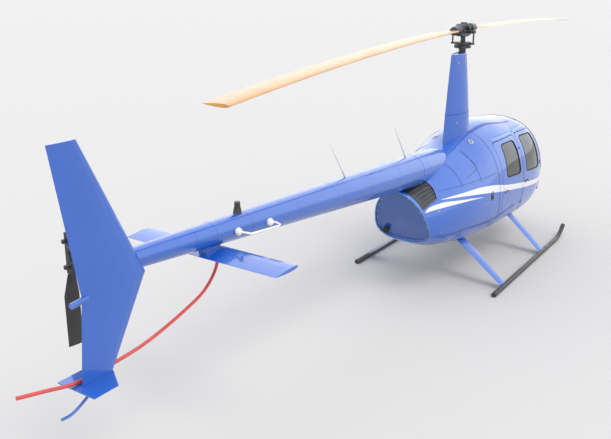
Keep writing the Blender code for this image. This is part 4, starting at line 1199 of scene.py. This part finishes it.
def rear_panel():
    middle = Vector((rear_face_x(PANEL_MIDDLE_Z), 0, PANEL_MIDDLE_Z))
    # the rear face in the darker blue, painted shade
    kit = Kit(SHADED_PANEL_PAINT)
    rings = []
    # how far in from the skin, how far behind the plane
    for inset, out in ((0.017, -0.018), (0.017, -0.006), (0.019, -0.0042), (0.030, -0.0036), (0.036, -0.0056),
                       (0.044, -0.0060)):
        rings.append([p + LEAN * out for p in rear_outline(inset)])
    last = rings[-1]
    for share in (0.8, 0.6, 0.4, 0.2, 0.02):
        rings.append([middle + (p - middle) * share + LEAN * 0.0035 * (1 - share) for p in last])
    kit.add(loft(rings))
    kit.done("cowl_rear_face", slot="body_blue", replaces=["cowl_rear_panel"], sharp=50)

    # the rim in the lighter blue, a painted highlight along the rolled edge
    rim = Kit(PALE_HIGHLIGHT_PAINT)
    outline = rear_outline(0.0075)
    profile = [(math.cos(a), math.sin(a)) for a in (math.tau * i / 12 for i in range(12))]
    rings = []
    for point in outline:
        away = point - middle
        away = (away - LEAN * away.dot(LEAN)).normalized()
        rings.append([point + away * c * 0.0085 + LEAN * (s * 0.0085 - 0.002) for c, s in profile])
    rings.append(rings[0])
    rim.add(loft(rings, caps=False))
    rim.done("cowl_rear_rim", slot="body_blue")

    heads = Kit(BRIGHT)
    border = rear_outline(0.030)
    border.append(border[0])
    stops, _ = spaced(border, [LEAN] * len(border), 0.105)
    for spot in stops[:-1]:
        if spot[2] < 1.33:
            screw(heads, Vector(spot) - LEAN * 0.0034, LEAN, 0.0075, BRIGHT)
    heads.done("rear_panel_screws", slot="dark_steel")


def exhaust():
    kit = Kit(STEEL)
    end, inner = EXHAUST_END_X, -1.049
    depth = inner - end
    profile = ((0.0, EXHAUST_R - 0.0035), (0.0005, EXHAUST_R - 0.0008), (0.003, EXHAUST_R), (depth, EXHAUST_R))
    kit.add(turned(profile, (end, EXHAUST_Y, EXHAUST_Z), (0, EXHAUST_Y, EXHAUST_Z), 40))
    bore = ((0.0, EXHAUST_R - 0.0035), (0.004, EXHAUST_R - 0.0045), (0.220, EXHAUST_R - 0.0045), (0.2205, 0.0))
    kit.add(turned(bore, (end - 0.0001, EXHAUST_Y, EXHAUST_Z), (0, EXHAUST_Y, EXHAUST_Z), 40), SOOT)
    kit.done("exhaust_stack", slot="dark_steel", replaces=["exhaust_pipe"])
    collar = Kit(STEEL)
    spot = Vector((rear_face_x(EXHAUST_Z), EXHAUST_Y, EXHAUST_Z))
    collar.add(turned(((-0.006, 0.044), (0.002, 0.044), (0.0035, 0.041), (0.0035, 0.036), (-0.004, 0.033)), spot,
                      spot + Vector((-1, 0, 0)), 40), STEEL)
    collar.done("exhaust_collar", slot="dark_steel")


# The louvred grille on each shoulder, from its lower edge to its upper one
SLATS = 6


def grille_place(along, up):
    """A place in X and Z inside the grille, by shares from its back to its front and from its foot up."""
    foot = Vector(GRILLE[0]).lerp(Vector(GRILLE[1]), along)
    top = Vector(GRILLE[4]).lerp(Vector(GRILLE[3]), along)
    middle = Vector(GRILLE[2])
    place = foot.lerp(top, up)
    bulge = (middle - Vector(GRILLE[1]).lerp(Vector(GRILLE[3]), 0.6)) * max(0.0, 1 - abs(up - 0.6) / 0.6) * along ** 4
    return place + bulge * 0.6


def louvres():
    steps = 14
    for side, sign in SIDES:
        kit = Kit(BLACK, STEEL)
        panel("grille_mesh_" + side, BLACK, [side_line(shrunk(GRILLE, 0.001))],
              lambda p: in_outline(p[:, 0], p[:, 2], shrunk(GRILLE, 0.001)) & (p[:, 1] > 0.10), (-1.60, -1.20), 0.002,
              angles=(0, 90), inset=0.013, signs=(sign,),
              replaces=["side_grille_" + side], eased=False)
        for slat in range(SLATS):
            low, high = slat / SLATS, (slat + 1) / SLATS
            # share of the slat's height, depth below the skin: the blade's outer and inner faces
            profile = ((0.02, 0.0015), (0.00, 0.0035), (0.06, 0.0050), (0.95, 0.0125), (0.95, 0.0110), (0.14, 0.0014))
            rings = []
            for i in range(steps + 1):
                along = 0.012 + 0.976 * i / steps
                spots = [grille_place(along, low + (high - low) * share) for share, _ in profile]
                points, normals = on_side(spots, sign)
                rings.append([Vector(p) - Vector(n) * d for p, n, (_, d) in zip(points, normals, profile)])
            kit.add(loft(rings), BLACK)
            # the lip tube in the lighter grey, a painted highlight on the slat's edge
            lip = [grille_place(0.012 + 0.976 * i / steps, low + 0.012 + 0.03 / SLATS) for i in range(steps + 1)]
            points, normals = on_side(lip, sign)
            kit.add(tube([Vector(p) - Vector(n) * 0.0020 for p, n in zip(points, normals)], 0.0028, 8), LIP_HIGHLIGHT_PAINT)
        border = resampled(shrunk(GRILLE, -0.002), 0.02, closed=True)
        border = [p for p in border]
        kit.add(strip(*on_side(border, sign), 0.010, 0.0016, closed=True), BLACK)
        kit.done("louvres_" + side, slot="black_paint", sharp=30)


def soot():
    made = Paint("sooty bore", (0.012, 0.011, 0.010), 0.9, 0.2)
    return made.varied((0.030, 0.026, 0.022), 30.0, 0.8).rough(0.8, 0.98, 20.0).material


# The slats' rolled lip, a lighter grey than the slats: a painted highlight along each slat's edge
def slat_lip():
    made = Paint("slat edge with painted highlight", (0.085, 0.090, 0.100), 0.4, 0.5)
    return made.varied((0.160, 0.165, 0.175), 40.0, 0.9, 6.0).rough(0.3, 0.5, 30.0).material


SOOT = soot()
LIP_HIGHLIGHT_PAINT = slat_lip()
body_trim()
door_trim()
windshield_trim()
fuel_caps()
cowl_latches()
rear_panel()
exhaust()
louvres()


# Tail cone
CONE_SIDES = 64
CONE_SEAMS = (-1.285, -1.855, -2.500, -3.140, -3.770, -4.460, -4.870, -5.130)


def cone_z(x):
    return CONE_FRONT_Z + CONE_RISE * (CONE_FRONT_X - x)


def cone_radius(x):
    share = (CONE_FRONT_X - x) / (CONE_FRONT_X - CONE_BACK_X)
    return CONE_FRONT_R + (CONE_BACK_R - CONE_FRONT_R) * share


CONE_WAY = Vector((-1, 0, CONE_RISE)).normalized()
CONE_UP = Vector((CONE_RISE, 0, 1)).normalized()


def on_cone(x, turn, grown=0.0):
    """A point of the cone and the way out from it. The turn is in degrees up from the right flank."""
    angle = math.radians(turn)
    out = Vector((0, -math.cos(angle), 0)) + CONE_UP * math.sin(angle)
    return Vector((x, 0, cone_z(x))) + out * (cone_radius(x) + grown), out


def cone_ring(x, grown=0.0, sides=CONE_SIDES):
    return [on_cone(x, 360 * i / sides, grown)[0] for i in range(sides)]


def cone_line(start, end, turn, gap=0.05):
    """Points and directions along the cone's flank."""
    steps = max(1, round(abs(end - start) / gap))
    found = [on_cone(start + (end - start) * i / steps, turn) for i in range(steps + 1)]
    return [p for p, _ in found], [n for _, n in found]


def cone_hoop(x, first=0, last=360, steps=48):
    found = [on_cone(x, first + (last - first) * i / steps) for i in range(steps + 1)]
    return [p for p, _ in found], [n for _, n in found]


def tail_cone():
    kit = Kit(PLAIN_PAINT)
    stations = sorted({CONE_BACK_X, CONE_FRONT_X, *CONE_SEAMS, *np.linspace(CONE_BACK_X, CONE_FRONT_X, 30)})
    rings = []
    for x in stations:
        if x in CONE_SEAMS:
            # each bay's skin overlaps the next one's by a visible step
            rings += [cone_ring(x - 0.0012, 0.0004), cone_ring(x - 0.0004, -0.0012), cone_ring(x + 0.0004, -0.0012),
                      cone_ring(x + 0.0012, 0.0004)]
        else:
            rings.append(cone_ring(x))
    kit.add(loft(rings))
    kit.done("tail_cone_skin", slot="body_blue", replaces=["tail_cone"], sharp=60)
    heads = Kit(RIVET)
    for seam in CONE_SEAMS:
        for shift in (-0.020, 0.020):
            rivets(heads, *cone_hoop(seam + shift), 0.036, 0.0036, 0.0014)
    bays = [CONE_FRONT_X, *CONE_SEAMS[1:], CONE_BACK_X]
    for i, (front, back) in enumerate(zip(bays, bays[1:])):
        for turn in (-58, 238) if i % 2 else (-70, 250):
            rivets(heads, *cone_line(front - 0.04, back + 0.04, turn), 0.045, 0.0036, 0.0014)
    heads.done("tail_cone_rivets", slot="body_blue")
    band = Kit(PLAIN_PAINT, BRIGHT)
    for x in (CONE_SEAMS[0], CONE_SEAMS[6]):
        band.add(strip(*cone_hoop(x, 0, 360, 64), 0.052, 0.0014, closed=True))
    for turn in range(-60, 241, 20):
        spot, out = on_cone(CONE_SEAMS[0] + 0.005, turn, 0.0014)
        screw(band, spot, out, 0.0085, BRIGHT)
    band.done("tail_cone_bands", slot="body_blue")


def cone_fairing():
    """The half-sunk fairing that carries the cone's line forward to the mast."""
    kit = Kit(PLAIN_PAINT)
    back, nose = CONE_FRONT_X + 0.001, CONE_NOSE_X
    rings = []
    for x in [*np.linspace(back, -0.74, 10), *np.linspace(-0.70, nose, 14)]:
        share = max(0.0, (x + 0.74) / (nose + 0.74))
        radius = CONE_FRONT_R * math.sqrt(max(0.0, 1 - 0.75 * share ** 2.2))
        ring = []
        for i in range(CONE_SIDES):
            angle = math.tau * i / CONE_SIDES
            out = Vector((0, -math.cos(angle), 0)) + CONE_UP * math.sin(angle)
            ring.append(Vector((x, 0, cone_z(x))) + out * radius)
        rings.append(ring)
    kit.add(loft(rings))
    kit.done("cone_nose_fairing", slot="body_blue", replaces=["cone_fairing"], sharp=60)
    heads = Kit(RIVET, BRIGHT)
    for turn in (18, 162):
        rivets(heads, *[values for values in fairing_foot(turn)], 0.045, 0.0042)
    for x, turn in ((-1.06, 38), (-0.98, 20), (-0.90, 52), (-0.80, 30)):
        for side_turn in (turn, 180 - turn):
            spot, out = on_cone(x, side_turn)
            flat = Vector((x, 0, cone_z(x))) + out * CONE_FRONT_R
            screw(heads, flat, out, 0.0085, BRIGHT)
    heads.done("cone_fairing_fasteners", slot="body_blue")


def fairing_foot(turn):
    found = []
    for x in np.linspace(-1.13, -0.80, 12):
        _, out = on_cone(x, turn)
        found.append((Vector((x, 0, cone_z(x))) + out * CONE_FRONT_R, out))
    return [p for p, _ in found], [n for _, n in found]


tail_cone()
cone_fairing()


# Mast fairing: z, trailing edge x, leading edge x, thickness
FAIRING_LEVELS = (
    (1.66, -0.412, 0.215, 0.290),
    (1.98, -0.400, 0.185, 0.255),
    (2.40, -0.365, 0.135, 0.190),
    (2.80, -0.320, 0.070, 0.130),
)


def fairing_level(z):
    levels = np.array(FAIRING_LEVELS)
    return [float(np.interp(z, levels[:, 0], levels[:, k])) for k in (1, 2, 3)]


def mast_ring(z, inset=0.0, lift=0.0):
    tail, nose, thick = fairing_level(z)
    tail, nose, thick = tail + inset, nose - inset, thick - inset * 2
    chord = nose - tail
    section = airfoil(chord, thick / chord, 26)
    return [Vector((nose - along, across * chord, z + lift)) for along, across in section]


def on_mast(z, share, sign):
    """A point of the fairing's side, at a share of its chord from the nose, and the way out from it."""
    tail, nose, thick = fairing_level(z)
    outline = mast_ring(z)
    count = len(outline) // 2
    side = outline[:count] if sign > 0 else [outline[0], *reversed(outline[count + 1:])]
    wanted = nose - (nose - tail) * share
    best = min(range(1, len(side) - 1), key=lambda i: abs(side[i].x - wanted))
    a, b = side[best - 1], side[best + 1]
    out = Vector((-(b - a).y, (b - a).x, 0)).normalized()
    if out.y * sign < 0:
        out = -out
    return side[best], out


def scaled_airfoil_ring(points):
    return points


def mast_fairing():
    kit = Kit(PLAIN_PAINT)
    rings = [mast_ring(z) for z in np.linspace(1.66, 2.786, 26)]
    # the rolled rim at the top, and the cap let in below it
    for inset, lift in ((0.0, 0.0), (0.0015, 0.006), (0.004, 0.0105), (0.008, 0.0125), (0.012, 0.0105), (0.014, 0.004),
                        (0.020, 0.002)):
        rings.append(mast_ring(2.7875, inset, lift))
    kit.add(loft(rings))
    kit.done("mast_fairing_skin", slot="body_blue", replaces=["mast_fairing"], sharp=40)
    # the rolled top rim in the lighter blue, a painted highlight
    rim = Kit(PALE_HIGHLIGHT_PAINT)
    outline = mast_ring(2.7875, 0.006, 0.0105)
    rim.add(tube(outline + outline[:2], 0.0042, 8))
    rim.done("mast_fairing_rim", slot="body_blue")
    heads = Kit(RIVET, BRIGHT, SEAM)
    for sign in (1, -1):
        for share in (0.62,):
            found = [on_mast(z, share, sign) for z in np.linspace(1.86, 2.76, 28)]
            rivets(heads, [p for p, _ in found], [n for _, n in found], 0.055, 0.0036, 0.0014)
        for z in (2.06,):
            found = [on_mast(z, share, sign) for share in np.linspace(0.03, 0.96, 30)]
            heads.add(strip([p for p, _ in found], [n for _, n in found], 0.006), SEAM)
            for shift in (-0.022, 0.022):
                found = [on_mast(z + shift, share, sign) for share in np.linspace(0.06, 0.92, 24)]
                rivets(heads, [p for p, _ in found], [n for _, n in found], 0.045, 0.0036, 0.0014)
        for z, share in ((2.694, 0.66), (2.694, 0.30), (1.95, 0.30), (1.95, 0.66)):
            spot, out = on_mast(z, share, sign)
            screw(heads, spot, out, 0.0115, BRIGHT)
    heads.done("mast_fairing_fasteners", slot="body_blue")


mast_fairing()


# What is left of the solids keeps its shape, and gets a worked finish
slots = {sub["node"]: sub["material_slot"] for sub in frame["record"]["subparts"]}
for node, obj in frame["nodes"].items():
    obj.data.materials.clear()
    obj.data.materials.append(SKIN_PAINTS[slots[node]])

# The photograph's camera, solved from the object's own sizes: place, aim, and principal point in pixels
FRAME_PX = (611, 439)
FOCAL_PX = 789.5
PRINCIPAL_PX = (308.0, 215.5)
CAMERA_PLACE = (MAST_X - 9.417, -3.968, 3.946)
AIM_AZIMUTH, AIM_ELEVATION, AIM_ROLL = (math.radians(a) for a in (33.64, -18.27, 0.48))


def photo_camera():
    data = bpy.data.cameras.new("camera")
    data.sensor_width = 36
    data.lens = FOCAL_PX / FRAME_PX[0] * data.sensor_width
    data.shift_x = (FRAME_PX[0] / 2 - PRINCIPAL_PX[0]) / FRAME_PX[0]
    data.shift_y = (PRINCIPAL_PX[1] - FRAME_PX[1] / 2) / FRAME_PX[0]
    data.clip_end = 600
    aim = Vector((math.cos(AIM_AZIMUTH) * math.cos(AIM_ELEVATION), math.sin(AIM_AZIMUTH) * math.cos(AIM_ELEVATION),
                  math.sin(AIM_ELEVATION)))
    level = aim.cross(Vector((0, 0, 1))).normalized()
    right = level * math.cos(AIM_ROLL) - aim.cross(level) * math.sin(AIM_ROLL)
    turn = Matrix((right, -aim.cross(right), -aim)).transposed().to_4x4()
    camera = bpy.data.objects.new("camera", data)
    bpy.context.scene.collection.objects.link(camera)
    camera.matrix_world = Matrix.Translation(CAMERA_PLACE) @ turn
    bpy.context.scene.camera = camera


FLOOR_COLOUR = (0.500, 0.468, 0.432)
FLOOR_REACH = 400.0


def studio():
    bpy.ops.mesh.primitive_plane_add(size=FLOOR_REACH, location=(0, 0, -0.0005))
    floor = bpy.context.object
    floor.name = "floor"
    made = Paint("pale floor", FLOOR_COLOUR, 0.85, Specular_IOR_Level=0.15)
    floor.data.materials.append(made.material)

    world = bpy.data.worlds.new("soft studio")
    world.use_nodes = True
    bpy.context.scene.world = world
    tree = world.node_tree
    place = tree.nodes.new("ShaderNodeTexCoord")
    split = tree.nodes.new("ShaderNodeSeparateXYZ")
    ramp = tree.nodes.new("ShaderNodeValToRGB")
    tree.links.new(place.outputs["Generated"], split.inputs["Vector"])
    tree.links.new(split.outputs["Z"], ramp.inputs["Fac"])
    tree.links.new(ramp.outputs["Color"], tree.nodes["Background"].inputs["Color"])
    tree.nodes["Background"].inputs["Strength"].default_value = 1.0
    # Brightness by height above the horizon, from 0 to 1
    stops = ((0.0, (1.55, 1.58, 1.62)), (0.25, (1.75, 1.82, 1.90)), (0.6, (1.45, 1.55, 1.72)), (1.0, (1.20, 1.34, 1.60)))
    while len(ramp.color_ramp.elements) < len(stops):
        ramp.color_ramp.elements.new(0.5)
    for element, (height, colour) in zip(ramp.color_ramp.elements, stops):
        element.position = height
        element.color = (*colour, 1)

    sun = bpy.data.lights.new("soft sun", "SUN")
    sun.energy = 1.1
    sun.angle = math.radians(24)
    sun.color = (1.0, 0.97, 0.92)
    lamp = bpy.data.objects.new("soft sun", sun)
    bpy.context.scene.collection.objects.link(lamp)
    lamp.rotation_euler = (math.radians(34), math.radians(6), math.radians(-28))

    view = bpy.context.scene.view_settings
    view.view_transform = "Standard"


photo_camera()
studio()
bpy.context.view_layer.update()
